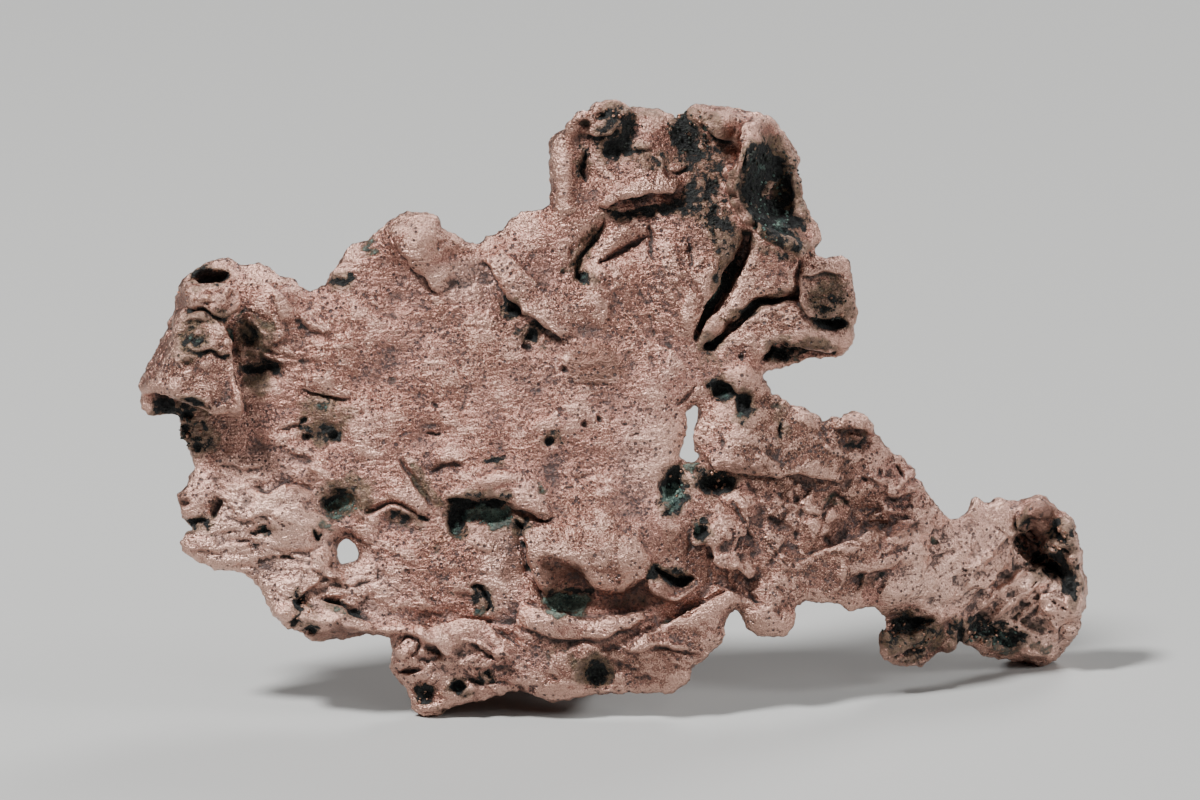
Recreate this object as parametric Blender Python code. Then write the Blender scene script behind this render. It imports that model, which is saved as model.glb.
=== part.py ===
"""Native copper nugget: one crumpled leaf of metal, 72 mm wide, standing on three worn spots.

The leaf is drawn on a face plane that leans back by FACE_LEAN. On it u runs right, v runs up the
plane and w stands proud of it towards the front, all in millimetres, and from_face() turns
(u, v, w) into upright X, Y, Z. The broad leaf is a front and a back surface over one outline. Its
folded-over wing, curled ear, rolled rims and rear foot are swept or curved sheets, and one skin
joins them all into a single solid.
"""

import math

import bmesh
import bpy
import numpy as np
from mathutils import Vector, geometry, noise

MM = 0.001

FACE_LEAN = math.radians(15.0)  # the face plane, back from upright
LEAF_THICKNESS = 2.2
RIM_THICKNESS = 0.9
LEAST_THICKNESS = 0.68
RIM_REACH = 2.4  # how far in from the rim the leaf reaches its full thickness
RIM_RELIEF = 0.35  # how much of the relief is left on the rim
FOLD_THICKNESS = 0.95
FLAP_THICKNESS = 1.14
FOOT_THICKNESS = 1.52
BACK_ECHO = 0.35  # how much of a front lump or hollow shows on the back
HAMMERED = 0.22  # fine unevenness of the leaf
FRONT_BUMPS = 3.5  # sizes of its bumps, one on the front and two on the back
BACK_BUMPS = (5.0, 2.2)
SMALL_BUMP_SHARE = 1.5
CRUMPLE = 0.9  # how far a fold strays from its smooth curve
CRUMPLE_SIZE = 2.6

RIM_STEP = 0.55
FACE_STEP = 0.55
BOW_REACH = 4.5  # how far one bow point pulls the leaf
LINE_STEP = 0.4  # between points along a ledge, a groove or the slot
ROLL_STEP = 0.35
LEDGE_DROP = 0.5  # width over which a ledge drops
LEDGE_END = 1.2  # length over which a ledge fades at either end
DIP_REACH = 1.1  # how far the dip under a ledge reaches
OVERHANG_REACH = 0.7  # how far back from its lip an overhanging ledge is drawn forward
GROOVE_END = 0.8
LUMP_FALL = 1.3  # the higher, the more pointed a lump
GROOVE_FALL = 1.5
POCKET_EDGE = 1.15  # where a pocket's wall starts, and how wide it is, in shares of its radius
POCKET_WALL = 0.5
HOLE_SIDES = 14
FOLD_LEVELS = 3
SKIN_STEP = 0.27
SKIN_SOFTENING = 2
MOST_TRIANGLES = 9400
GROUND = 0.1  # height at which the feet are worn flat, over the foot of the face plane

# ---------------------------------------------------------------- outline

WING_RIM = (
    (-33.1, 22.4), (-33.6, 23.6), (-34.6, 25.2), (-34.9, 26.6), (-34.6, 27.8), (-33.9, 28.8),
    (-33.5, 30.2), (-33.0, 31.8), (-33.2, 32.4), (-32.7, 33.5), (-32.0, 34.0), (-31.1, 34.5),
    (-30.2, 34.9), (-29.3, 35.0), (-28.9, 34.3), (-28.2, 34.3), (-27.3, 34.5), (-26.0, 33.8),
    (-25.2, 33.4), (-24.7, 33.4), (-24.1, 32.9), (-23.6, 32.2), (-23.0, 32.6), (-22.1, 32.8),
)
CREST_LUMP_RIM = (
    (-21.5, 34.0), (-21.1, 34.2), (-20.9, 35.1), (-20.0, 36.0), (-19.0, 36.2), (-18.0, 37.3),
    (-16.9, 38.1), (-15.7, 38.5), (-14.2, 38.4), (-13.5, 37.8), (-13.3, 37.0), (-12.4, 36.6),
    (-11.2, 35.8), (-10.4, 35.8), (-9.8, 36.6), (-8.9, 36.9), (-7.7, 38.1), (-6.6, 38.6),
    (-5.4, 38.6),
)
CREST_LOBE_RIM = (
    (-5.3, 39.4), (-5.1, 40.6), (-5.3, 42.6), (-5.1, 43.9), (-4.2, 44.8), (-3.4, 45.4),
    (-2.9, 45.9), (-1.9, 46.2), (-1.0, 46.7), (0.0, 46.6), (0.6, 46.1), (1.9, 46.2),
    (3.6, 45.9), (4.4, 45.3), (5.3, 46.0), (6.1, 46.4), (8.5, 46.3), (9.5, 46.0),
    (11.4, 45.6), (12.1, 44.8), (12.9, 43.8), (13.8, 42.4), (13.5, 41.2), (13.6, 39.3),
    (14.7, 37.6), (15.5, 36.5), (15.0, 35.8), (15.1, 34.9), (17.1, 35.0), (17.8, 34.3),
    (17.7, 33.0), (18.3, 31.0), (17.9, 29.7), (17.9, 28.6), (17.3, 27.6), (16.7, 27.2),
    (15.5, 27.2), (12.8, 26.7), (11.4, 26.4),
)
ARM_TOP_RIM = (
    (10.7, 26.3), (11.3, 25.2), (11.6, 24.4), (12.6, 24.4), (12.9, 23.7), (14.1, 23.6),
    (15.0, 23.1), (15.7, 22.1), (16.6, 22.7), (18.8, 22.9), (19.4, 22.0), (20.1, 20.8),
    (20.9, 20.0), (21.8, 19.8), (22.8, 18.5), (23.6, 17.1), (24.3, 16.1), (24.7, 15.3),
    (25.5, 15.1), (26.6, 15.6), (27.0, 16.6), (27.5, 16.9), (28.1, 16.3), (29.2, 16.8),
    (30.6, 16.5), (31.7, 16.8), (32.8, 16.8), (33.6, 15.9), (34.7, 15.0), (35.3, 13.3),
    (35.5, 11.1), (35.9, 9.8), (35.9, 8.6), (35.3, 7.4), (33.9, 6.3), (33.5, 5.3),
    (33.6, 4.5), (33.0, 3.8),
)
ARM_BOTTOM_RIM = (
    (32.2, 3.7), (31.4, 4.2), (30.4, 3.8), (29.7, 4.1), (28.3, 4.3), (27.2, 5.1),
    (26.1, 5.8), (25.6, 5.1), (24.4, 4.9), (23.6, 4.0), (22.2, 3.8), (20.8, 3.9),
    (20.0, 4.7), (20.0, 5.8), (20.3, 7.1), (19.7, 8.2), (18.6, 8.2), (17.6, 7.8),
    (16.6, 8.6), (15.2, 8.6), (13.9, 9.0), (13.3, 8.2), (13.4, 7.2), (12.6, 6.4),
    (11.2, 6.3), (10.1, 6.6), (9.6, 7.6), (8.8, 8.6),
)
LOWER_LOBE_RIM = (
    (8.0, 7.0), (7.9, 5.7), (6.9, 4.8), (5.3, 4.0), (5.5, 3.0), (4.4, 2.2),
    (2.8, 1.9), (-0.6, 1.7), (-2.7, 1.8), (-5.1, 1.3), (-7.4, 2.1), (-9.7, 1.4),
    (-11.1, 1.1), (-12.6, 0.9), (-13.4, 1.9), (-14.8, 2.2), (-16.0, 2.3), (-16.7, 2.7),
    (-17.4, 3.9), (-17.4, 5.2), (-17.1, 6.0), (-18.0, 6.4),
)
LEFT_BODY_RIM = (
    (-20.4, 6.1), (-22.7, 5.7), (-23.6, 6.1), (-24.3, 6.8), (-25.4, 7.2), (-26.2, 7.8),
    (-26.7, 8.8), (-27.3, 9.9), (-28.2, 10.8), (-29.8, 11.3), (-31.4, 11.9), (-33.0, 12.8),
    (-33.3, 13.4), (-32.0, 14.3), (-32.6, 14.9), (-33.3, 15.7), (-33.2, 17.0), (-32.5, 18.0),
    (-32.0, 18.9), (-32.3, 20.2), (-33.0, 21.3),
)
RIM = (
    WING_RIM + CREST_LUMP_RIM + CREST_LOBE_RIM + ARM_TOP_RIM + ARM_BOTTOM_RIM
    + LOWER_LOBE_RIM + LEFT_BODY_RIM
)
SLOT = (
    (5.4, 23.6), (5.3, 22.0), (5.15, 21.2), (4.6, 20.7), (4.5, 19.5), (5.5, 19.4), (6.3, 19.6),
    (5.75, 20.8), (6.0, 22.6), (6.1, 23.6), (5.8, 24.0),
)
HOLE_CENTRE = (-20.6, 12.4)
HOLE_RADII = (0.75, 0.9)

# ------------------------------------------------------- bow of the leaf: (u, v, w)

BOWS = (
    (-34.0, 24.0, 0.3), (-32.0, 29.0, 0.2), (-30.0, 34.0, 0.0),
    (-32.0, 20.0, -0.8), (-32.5, 16.5, 0.2), (-31.5, 13.0, 0.0),
    (-26.0, 24.0, -0.3), (-26.0, 18.0, 0.2), (-25.0, 13.0, 0.6), (-26.0, 9.0, 0.4),
    (-22.0, 7.0, 0.8), (-20.0, 30.0, 0.0), (-20.0, 20.0, 0.3), (-18.0, 12.0, 0.9),
    (-15.0, 36.0, 0.2), (-12.0, 33.0, 0.2), (-10.0, 26.0, 0.8), (-13.0, 19.0, 0.8),
    (-8.0, 14.0, 0.8), (-5.0, 20.0, 1.2), (0.0, 26.0, 0.9), (0.0, 18.0, 1.4),
    (0.0, 13.0, 1.5), (-16.0, 5.0, 0.2), (-14.0, 1.0, -0.3), (-10.0, 4.0, 0.6),
    (-3.0, 4.0, 0.6), (3.0, 4.0, 0.2), (6.0, 8.0, 0.5), (-3.0, 33.0, 0.3),
    (-4.0, 44.0, 0.2), (0.0, 40.0, 0.6), (3.0, 44.0, -0.2), (5.0, 35.0, 0.9),
    (8.0, 40.0, 0.2), (12.0, 44.0, 0.4), (13.0, 39.0, 0.2), (8.0, 32.0, 0.6),
    (12.0, 30.0, 0.0), (16.0, 31.0, -0.8), (15.0, 28.0, -1.4), (8.0, 22.0, 0.8),
    (8.0, 15.0, 1.0), (13.0, 20.0, -0.8), (13.0, 12.0, -0.4), (12.0, 7.0, -0.4),
    (18.0, 19.0, -3.0), (18.0, 12.0, -2.6), (22.0, 16.0, -5.0), (23.0, 10.0, -5.4),
    (28.0, 14.0, -8.6), (28.0, 8.0, -9.0), (33.0, 13.0, -12.0), (33.0, 8.0, -12.8),
    (31.5, 4.0, -15.2),
)

# ------------------------------------------------- relief on the front of the leaf
# A ledge stands up on the left of its path, walking along it, and drops on the right:
# (path, rise, reach of the raised side, dip, overhang).

LEDGES = (
    # left body
    (((-23.0, 17.0), (-24.2, 17.5), (-25.2, 17.6), (-26.5, 17.0), (-27.7, 17.5)), 0.8, 2.5, 0.5, 0.2),
    (((-18.2, 7.2), (-19.8, 7.7), (-21.3, 8.4), (-22.7, 9.0)), 0.8, 1.6, 0.6, 0.2),
    (((-18.0, 16.1), (-16.0, 15.3), (-14.0, 14.7)), 0.6, 2.0, 0.6, 0.2),
    # crest
    (((-16.8, 35.5), (-15.7, 35.0), (-15.3, 34.1), (-14.6, 33.5), (-13.9, 32.7), (-13.4, 32.0)),
     0.9, 2.5, 0.3, 0.2),
    (((-10.2, 35.0), (-9.3, 33.6), (-8.5, 32.5), (-8.0, 31.5), (-7.3, 30.7), (-6.2, 30.2),
      (-5.0, 29.2), (-4.0, 28.0)), 0.9, 3.0, 0.5, 0.2),
    (((-1.5, 38.7), (-0.1, 39.3), (1.3, 39.6), (2.8, 40.0), (4.2, 40.0), (5.2, 40.9)),
     1.1, 2.2, 1.0, 0.4),
    (((6.0, 45.5), (7.0, 44.4), (8.0, 43.9), (8.9, 43.8)), 0.7, 1.8, 0.4, 0.3),
    # fan between the crest lobe and the arm
    (((5.4, 28.4), (5.8, 29.6), (6.7, 31.2), (7.6, 32.8), (8.7, 34.8), (9.5, 37.2)), 0.6, 2.0, 0.3, 0.45),
    (((6.0, 27.9), (7.5, 28.9), (8.5, 30.0), (9.7, 31.0), (10.5, 31.7), (12.0, 32.0), (14.0, 32.4)),
     0.6, 1.6, 0.3, 0.4),
    # centre
    (((-7.3, 15.0), (-7.2, 14.0), (-7.0, 13.0), (-6.4, 10.9), (-5.6, 9.4)), 1.5, 4.0, 0.4, 0.3),
    (((-6.8, 12.0), (-5.0, 12.3), (-3.9, 11.9), (-3.0, 11.5), (-2.4, 10.7), (-1.6, 10.0),
      (0.2, 9.8), (1.2, 10.3), (2.4, 11.0)), 0.9, 3.0, 1.0, 0.4),
    (((-8.5, 16.1), (-7.0, 15.9), (-5.4, 15.2), (-4.7, 15.5)), 0.7, 2.0, 0.6, 0.3),
    (((2.6, 11.2), (2.3, 12.2), (1.7, 13.1), (1.4, 14.4)), 0.6, 2.5, 0.5, 0.0),
    (((5.6, 14.6), (5.8, 13.1), (6.9, 13.0), (7.3, 11.8), (8.6, 11.1), (9.9, 10.6), (10.9, 11.3)),
     0.9, 3.0, 0.5, 0.2),
    # lower lobe
    (((-7.2, 5.2), (-8.3, 5.8), (-9.2, 6.3), (-10.0, 7.0), (-11.0, 7.1), (-12.0, 7.0),
      (-13.2, 6.8), (-14.2, 6.6), (-16.0, 7.0)), 0.8, 2.0, 0.5, 0.2),
    (((2.8, 8.2), (1.2, 7.9), (-0.8, 7.5), (-2.2, 7.35), (-3.9, 7.7), (-5.6, 7.95), (-7.2, 8.5)),
     1.3, 2.0, 0.5, 0.2),
    (((9.4, 10.0), (8.6, 9.3), (7.0, 8.6), (5.4, 7.6), (3.9, 7.0), (2.2, 6.4), (0.2, 5.5)),
     1.3, 2.6, 0.9, 0.4),
    # beside the slot
    (((6.2, 19.9), (7.5, 18.9), (9.5, 18.7), (11.5, 18.5), (14.5, 18.4), (17.2, 17.6)),
     0.8, 3.0, 0.5, 0.2),
    (((10.4, 26.9), (11.3, 28.0), (12.2, 28.7), (13.0, 28.4), (14.8, 28.0), (17.0, 27.9)),
     0.6, 2.5, 1.4, 0.2),
    # arm
    (((23.4, 14.7), (22.0, 14.2), (21.2, 14.4), (20.4, 13.9), (19.5, 14.6), (18.6, 14.0),
      (17.4, 13.5), (15.7, 13.0)), 0.8, 2.6, 1.0, 0.2),
    (((16.7, 10.1), (18.2, 10.9), (20.2, 11.0), (21.6, 11.6), (23.0, 11.2)), 0.6, 2.2, 0.5, 0.0),
    (((24.4, 7.0), (26.6, 8.2), (28.0, 9.8), (29.2, 10.9), (30.2, 12.0)), 0.6, 3.0, 0.4, 0.0),
)

# A groove is cut along its path: (path, depth, half width). A negative depth is a ridge.
GROOVES = (
    (((-24.3, 24.9), (-22.4, 24.5), (-20.0, 24.0)), 0.8, 0.8),
    (((-30.6, 16.9), (-30.5, 16.0), (-30.7, 14.9)), 0.9, 0.7),
    (((-17.2, 20.0), (-16.2, 18.6), (-15.0, 17.2), (-13.7, 15.6)), 0.6, 0.7),
    (((-1.2, 38.1), (-1.0, 37.4), (-2.0, 36.0), (-2.6, 35.0), (-3.0, 33.7), (-2.3, 32.7)), 1.1, 0.8),
    (((-1.9, 34.2), (0.0, 35.1), (1.5, 36.0), (2.6, 36.6)), 0.8, 0.7),
    (((2.5, 37.6), (2.7, 34.4)), 0.45, 0.6),
    (((5.4, 36.2), (5.4, 33.8)), 0.45, 0.6),
    (((9.5, 37.2), (8.7, 34.8), (7.6, 32.8), (6.7, 31.2), (5.8, 29.6), (5.4, 28.4)), 1.5, 0.75),
    (((14.0, 32.4), (12.0, 32.0), (10.5, 31.7), (9.7, 31.0), (8.5, 30.0), (7.5, 28.9), (6.0, 27.9)),
     1.4, 0.7),
    (((-2.5, 43.2), (-2.4, 40.3)), 0.9, 0.6),
    (((-11.4, 9.9), (-10.6, 10.0), (-10.0, 9.5), (-9.6, 8.7), (-10.2, 7.8)), 0.6, 0.55),
    (((2.2, 11.7), (3.4, 10.9), (4.6, 10.3), (6.2, 10.6)), 1.3, 0.7),
    (((2.1, 10.8), (3.2, 9.8), (4.4, 9.2), (5.4, 9.4), (6.4, 10.2)), -0.8, 0.6),
    (((0.6, 5.3), (3.2, 5.3), (5.3, 5.4), (6.3, 4.8)), -0.4, 0.5),
    (((-12.2, 6.0), (-10.5, 5.6), (-9.0, 4.9), (-7.8, 4.5)), -0.5, 0.7),
    (((-15.2, 5.3), (-14.2, 4.9), (-12.8, 4.4)), 0.6, 0.6),
    (((-16.9, 3.6), (-15.6, 3.4), (-14.6, 3.8)), 0.6, 0.5),
    (((-24.6, 7.6), (-22.0, 7.5), (-20.0, 7.0), (-18.0, 6.8), (-15.9, 6.6), (-13.4, 5.4), (-12.0, 4.9)),
     -0.8, 0.9),
    (((18.2, 14.6), (20.0, 15.0), (22.0, 14.8), (23.4, 14.9)), 0.7, 0.8),
    (((16.0, 22.3), (17.4, 22.6), (18.8, 22.5), (19.3, 21.9)), -1.1, 0.7),
    (((26.4, 7.1), (28.0, 7.2), (29.5, 6.4), (31.2, 5.5)), 1.3, 1.1),
    (((20.2, 4.8), (21.8, 5.4), (23.2, 6.2), (24.5, 7.2), (26.6, 7.9)), -0.8, 0.6),
    (((33.6, 15.6), (34.7, 14.4), (35.1, 12.4), (35.4, 10.4), (35.3, 8.4), (34.3, 6.9)), -2.4, 1.0),
    (((15.0, 15.2), (16.4, 16.7), (18.1, 15.8)), 0.5, 0.5),
)

# A lump swells over an oval: (u, v, half width, half height, turn in degrees, rise).
LUMPS = (
    (-15.0, 36.4, 2.7, 2.4, 20, 1.1),
    (-4.4, 41.3, 1.4, 4.2, 0, 1.0),
    (-0.8, 45.2, 2.6, 1.6, 0, 0.9),
    (7.8, 45.1, 2.1, 1.3, -12, 1.4),
    (-9.0, 17.6, 4.6, 1.7, -4, 0.8),
    (-25.0, 15.0, 3.2, 2.6, 0, 0.5),
    (-32.3, 16.4, 1.5, 1.8, 0, 0.7),
    (-25.2, 7.9, 1.3, 1.0, 0, 0.7),
    (-16.2, 4.9, 1.4, 1.3, 0, 0.9),
    (-5.0, 3.2, 3.6, 2.2, 0, 0.5),
    (0.4, 13.0, 6.0, 4.0, -15, 0.5),
    (9.8, 25.7, 2.2, 1.5, -25, 1.0),
    (9.5, 21.6, 3.6, 3.0, 0, 0.5),
    (-1.8, 26.9, 2.6, 2.0, 0, 0.5),
    (33.2, 8.4, 1.9, 1.9, 0, 1.4),
    (32.2, 15.2, 1.4, 1.4, -20, 1.2),
    (34.1, 13.4, 0.9, 1.2, 20, 0.9),
    (27.2, 15.9, 0.9, 0.9, 0, 0.8),
    (29.5, 16.1, 1.2, 0.9, 0, 0.8),
    (22.0, 9.8, 2.6, 1.7, 10, 0.6),
    (11.7, 7.7, 2.2, 1.6, 0, 0.5),
    (-20.0, 29.0, 4.5, 3.4, 15, 0.4),
    (-26.6, 31.8, 2.4, 2.2, 0, 0.5),
    (14.6, 30.0, 2.6, 1.8, 0, 0.6),
)

# A pocket has a steep wall and a flat bottom: (u, v, half width, half height, turn, depth).
POCKETS = (
    (-21.2, 16.2, 1.6, 1.2, 15, 1.2),
    (-26.6, 14.3, 0.8, 0.7, 0, 0.8),
    (-22.7, 13.9, 0.7, 0.7, 0, 0.7),
    (-20.6, 12.4, 1.7, 1.9, 0, 0.5),
    (-22.3, 21.4, 2.0, 0.9, 0, 0.6),
    (-27.0, 26.4, 1.9, 0.9, 8, 1.0),
    (-9.8, 15.8, 2.0, 1.1, 0, 1.3),
    (-12.0, 15.0, 0.9, 1.8, 0, 1.1),
    (-3.9, 8.9, 1.9, 1.0, 0, 0.9),
    (-14.0, 21.6, 1.7, 0.9, 0, 0.4),
    (-6.6, 28.7, 0.7, 0.9, 0, 0.7),
    (-7.8, 31.2, 0.6, 0.8, 0, 0.5),
    (-1.8, 3.3, 1.2, 1.2, 0, 0.8),
    (-12.2, 2.6, 0.6, 0.6, 0, 0.6),
    (-24.0, 9.0, 1.0, 0.6, -20, 0.7),
    (-5.0, 21.2, 0.5, 0.8, 0, 0.4),
    (4.2, 17.9, 0.9, 1.5, -15, 1.5),
    (7.4, 17.7, 1.5, 0.9, 0, 1.4),
    (7.9, 24.6, 1.0, 0.7, 0, 1.0),
    (9.5, 23.5, 0.7, 0.6, 0, 0.8),
    (6.2, 13.8, 0.8, 0.6, 0, 0.8),
    (17.9, 21.2, 1.5, 0.9, 15, 1.0),
    (22.0, 7.1, 2.4, 0.9, 0, 1.7),
    (22.6, 4.8, 1.9, 0.8, 10, 1.2),
    (32.3, 12.5, 2.6, 1.0, -50, 2.6),
    (12.2, 27.4, 1.4, 0.9, 0, 0.9),
    (16.0, 29.9, 1.4, 0.7, 0, 1.2),
    (4.6, 44.0, 1.4, 1.9, 0, 0.5),
)

# ------------------------------------------------- relief on the back of the leaf

BACK_LEDGES = (
    (((-31.0, 29.5), (-27.0, 28.0), (-23.0, 29.2), (-19.0, 27.0), (-15.0, 27.6)), 1.1, 4.0, 0.4, 0.3),
    (((-3.0, 11.0), (-6.0, 13.5), (-11.0, 14.5), (-15.0, 17.0), (-20.0, 17.5)), 1.0, 4.0, 0.4, 0.3),
    (((3.0, 29.0), (0.5, 32.0), (0.0, 36.0), (-2.0, 40.0)), 0.9, 3.0, 0.4, 0.3),
    (((9.0, 12.0), (12.0, 14.5), (16.0, 14.0), (20.0, 15.5)), 0.8, 3.0, 0.4, 0.2),
)
BACK_GROOVES = (
    (((-31.0, 23.5), (-25.0, 22.5), (-19.0, 24.2), (-13.0, 22.2), (-8.0, 23.0)), 1.0, 1.1),
    (((-12.0, 35.0), (-9.0, 30.0), (-7.0, 25.0), (-3.0, 20.0), (-2.0, 15.0)), 1.0, 1.0),
    (((4.5, 43.0), (5.5, 38.0), (9.0, 33.0), (12.0, 29.5)), 0.9, 1.0),
    (((5.0, 30.0), (8.0, 26.5), (9.0, 21.0), (13.0, 18.5)), -0.9, 1.1),
    (((-28.0, 10.0), (-22.0, 12.0), (-16.0, 10.0), (-11.0, 11.0)), -0.9, 1.2),
    (((19.0, 11.0), (24.0, 12.5), (29.0, 10.0), (33.0, 11.0)), 0.8, 0.9),
)
BACK_LUMPS = (
    (-24.0, 25.5, 6.5, 3.2, 15, 1.0),
    (-12.0, 31.0, 5.0, 3.6, -20, 0.9),
    (-17.0, 14.0, 5.0, 3.0, 10, 1.0),
    (2.0, 40.5, 4.0, 3.4, 0, 1.0),
    (11.0, 21.0, 4.4, 2.8, -20, 0.8),
    (-29.0, 16.5, 2.6, 3.2, 0, 0.8),
    (24.0, 14.5, 3.6, 2.2, 0, 0.7),
    (-1.0, 24.5, 3.4, 2.6, 0, 0.8),
    (13.5, 32.0, 3.4, 2.4, 0, 0.8),
)
BACK_POCKETS = (
    (-19.0, 20.6, 2.2, 1.3, 10, 1.0),
    (-5.0, 31.0, 1.5, 1.2, 0, 0.9),
    (3.0, 17.0, 1.8, 1.3, -20, 1.0),
    (-27.0, 19.0, 1.4, 1.1, 0, 0.8),
    (17.5, 18.4, 1.5, 1.0, 0, 0.7),
    (7.5, 42.5, 1.6, 1.2, 0, 0.8),
)

# ------------------------------------------ folds: rows of (u, v, w), top row first

WING_FOLD = (
    ((-33.0, 33.1, 0.3), (-32.4, 33.1, 2.0), (-31.2, 32.8, 3.2), (-30.0, 32.6, 2.6), (-28.9, 32.5, 1.5)),
    ((-33.1, 31.3, 0.4), (-32.6, 31.2, 2.6), (-31.2, 31.0, 3.8), (-29.7, 31.1, 3.2), (-28.4, 31.4, 2.2)),
    ((-33.7, 29.8, 0.4), (-33.2, 29.6, 2.8), (-31.9, 29.5, 4.0), (-30.8, 29.5, 3.7), (-30.0, 29.6, 3.1)),
    ((-34.4, 27.9, 0.4), (-33.8, 27.7, 3.0), (-32.2, 27.6, 4.2), (-30.6, 27.7, 3.9), (-29.2, 27.8, 3.0)),
    ((-35.2, 26.4, 0.5), (-34.6, 26.2, 3.0), (-32.8, 26.0, 4.4), (-30.6, 25.9, 4.0), (-28.9, 26.0, 3.0)),
    ((-35.9, 25.4, 0.6), (-35.3, 25.4, 2.6), (-33.2, 25.0, 4.1), (-30.6, 24.4, 4.0), (-28.4, 24.3, 3.1)),
    ((-36.0, 24.5, 0.3), (-35.2, 24.9, 2.3), (-33.4, 24.3, 3.8), (-30.8, 22.9, 3.7), (-28.3, 22.6, 3.0)),
)
# The wing's back sheet, which its lower left corner curls round.
SLEEVE_FOLD = (
    ((-35.5, 25.6, 0.5), (-34.8, 25.8, -0.3), (-33.4, 25.6, 0.0)),
    ((-35.8, 24.1, 0.7), (-34.9, 24.1, -0.5), (-33.2, 24.0, -0.2)),
    ((-35.6, 22.9, 1.1), (-34.9, 22.8, 0.3), (-33.2, 23.2, 0.0)),
)
EAR_FOLD = (
    ((9.4, 45.0, 5.2), (10.0, 45.3, 4.4), (10.7, 45.4, 3.6), (11.3, 45.3, 2.8), (11.8, 45.1, 2.2)),
    ((9.5, 43.4, 6.2), (10.3, 43.6, 4.8), (11.2, 43.6, 3.0), (12.2, 43.5, 2.0), (12.8, 43.5, 2.2)),
    ((8.7, 41.5, 6.8), (9.8, 41.4, 4.4), (11.2, 41.3, 1.6), (12.6, 41.3, 1.2), (13.4, 41.4, 2.4)),
    ((8.3, 39.8, 7.0), (9.7, 39.8, 4.2), (11.3, 39.7, 1.2), (12.7, 39.6, 1.0), (13.5, 39.5, 2.6)),
    ((9.6, 37.6, 6.8), (10.7, 37.9, 4.2), (12.0, 38.2, 1.6), (13.4, 38.2, 1.6), (14.4, 37.8, 3.0)),
    ((12.0, 35.9, 5.8), (12.7, 36.2, 4.2), (13.6, 36.6, 2.6), (14.5, 36.8, 2.4), (15.2, 36.6, 3.0)),
    ((13.9, 35.0, 4.4), (14.2, 35.3, 3.8), (14.5, 35.6, 3.2), (14.8, 35.8, 3.0), (15.0, 35.9, 3.0)),
)
EAR_LOBE_FOLD = (
    ((14.0, 34.1, 1.6), (15.1, 34.7, 2.2), (16.6, 34.8, 2.2), (17.6, 34.3, 1.4)),
    ((13.8, 33.2, 2.8), (15.0, 33.5, 3.5), (16.6, 33.4, 3.5), (17.6, 33.2, 2.6)),
    ((14.0, 31.8, 2.6), (15.2, 31.7, 3.4), (16.8, 31.6, 3.4), (17.9, 31.8, 2.4)),
    ((14.4, 30.8, 1.6), (15.4, 30.5, 2.3), (16.8, 30.5, 2.3), (18.0, 30.8, 1.6)),
)
# A flap torn loose behind the left body, and the rear foot, which is given upright as rows of
# (x, y, z) from left to right.
BACK_FLAP = (
    ((-28.6, 22.6, -1.4), (-27.0, 22.9, -2.0), (-25.2, 22.4, -2.2), (-23.6, 23.2, -1.2)),
    ((-30.4, 19.6, -1.4), (-27.4, 19.4, -3.0), (-24.6, 19.2, -3.2), (-22.0, 20.2, -1.6)),
    ((-29.4, 16.4, -1.2), (-27.6, 16.0, -3.2), (-25.2, 15.6, -3.8), (-22.8, 16.6, -2.6)),
    ((-28.0, 14.6, -1.2), (-26.8, 13.2, -2.8), (-25.0, 12.2, -4.0), (-23.2, 13.4, -3.4)),
)
FOOT_FOLD = (
    ((-13.0, 3.2, 6.6), (-12.8, 5.0, 4.6), (-12.6, 7.2, 3.3), (-12.2, 9.0, 3.0), (-12.0, 10.4, 4.0),
     (-12.2, 10.0, 5.4)),
    ((-10.6, 2.4, 7.4), (-10.2, 4.8, 4.6), (-9.6, 8.4, 2.2), (-9.4, 11.2, 1.3), (-9.2, 13.0, 2.6),
     (-9.6, 12.6, 4.6)),
    ((-7.4, 2.2, 7.0), (-6.8, 5.4, 4.2), (-6.3, 8.4, 1.7), (-6.0, 11.4, 0.32), (-5.4, 13.8, 0.7),
     (-5.0, 15.0, 2.6)),
    ((-4.0, 2.2, 7.8), (-3.6, 4.4, 4.6), (-3.0, 8.8, 2.1), (-2.8, 11.6, 0.55), (-2.4, 12.8, 0.9),
     (-1.6, 13.2, 2.4)),
    ((-1.2, 2.2, 6.8), (-0.8, 4.6, 5.2), (-1.0, 6.2, 3.4), (-1.4, 8.2, 2.4), (-1.2, 9.8, 2.8),
     (-0.4, 10.4, 4.4)),
)

# ---------------------------------- rolls: rods of curled metal, ((u, v, w, radius), ...)

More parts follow.
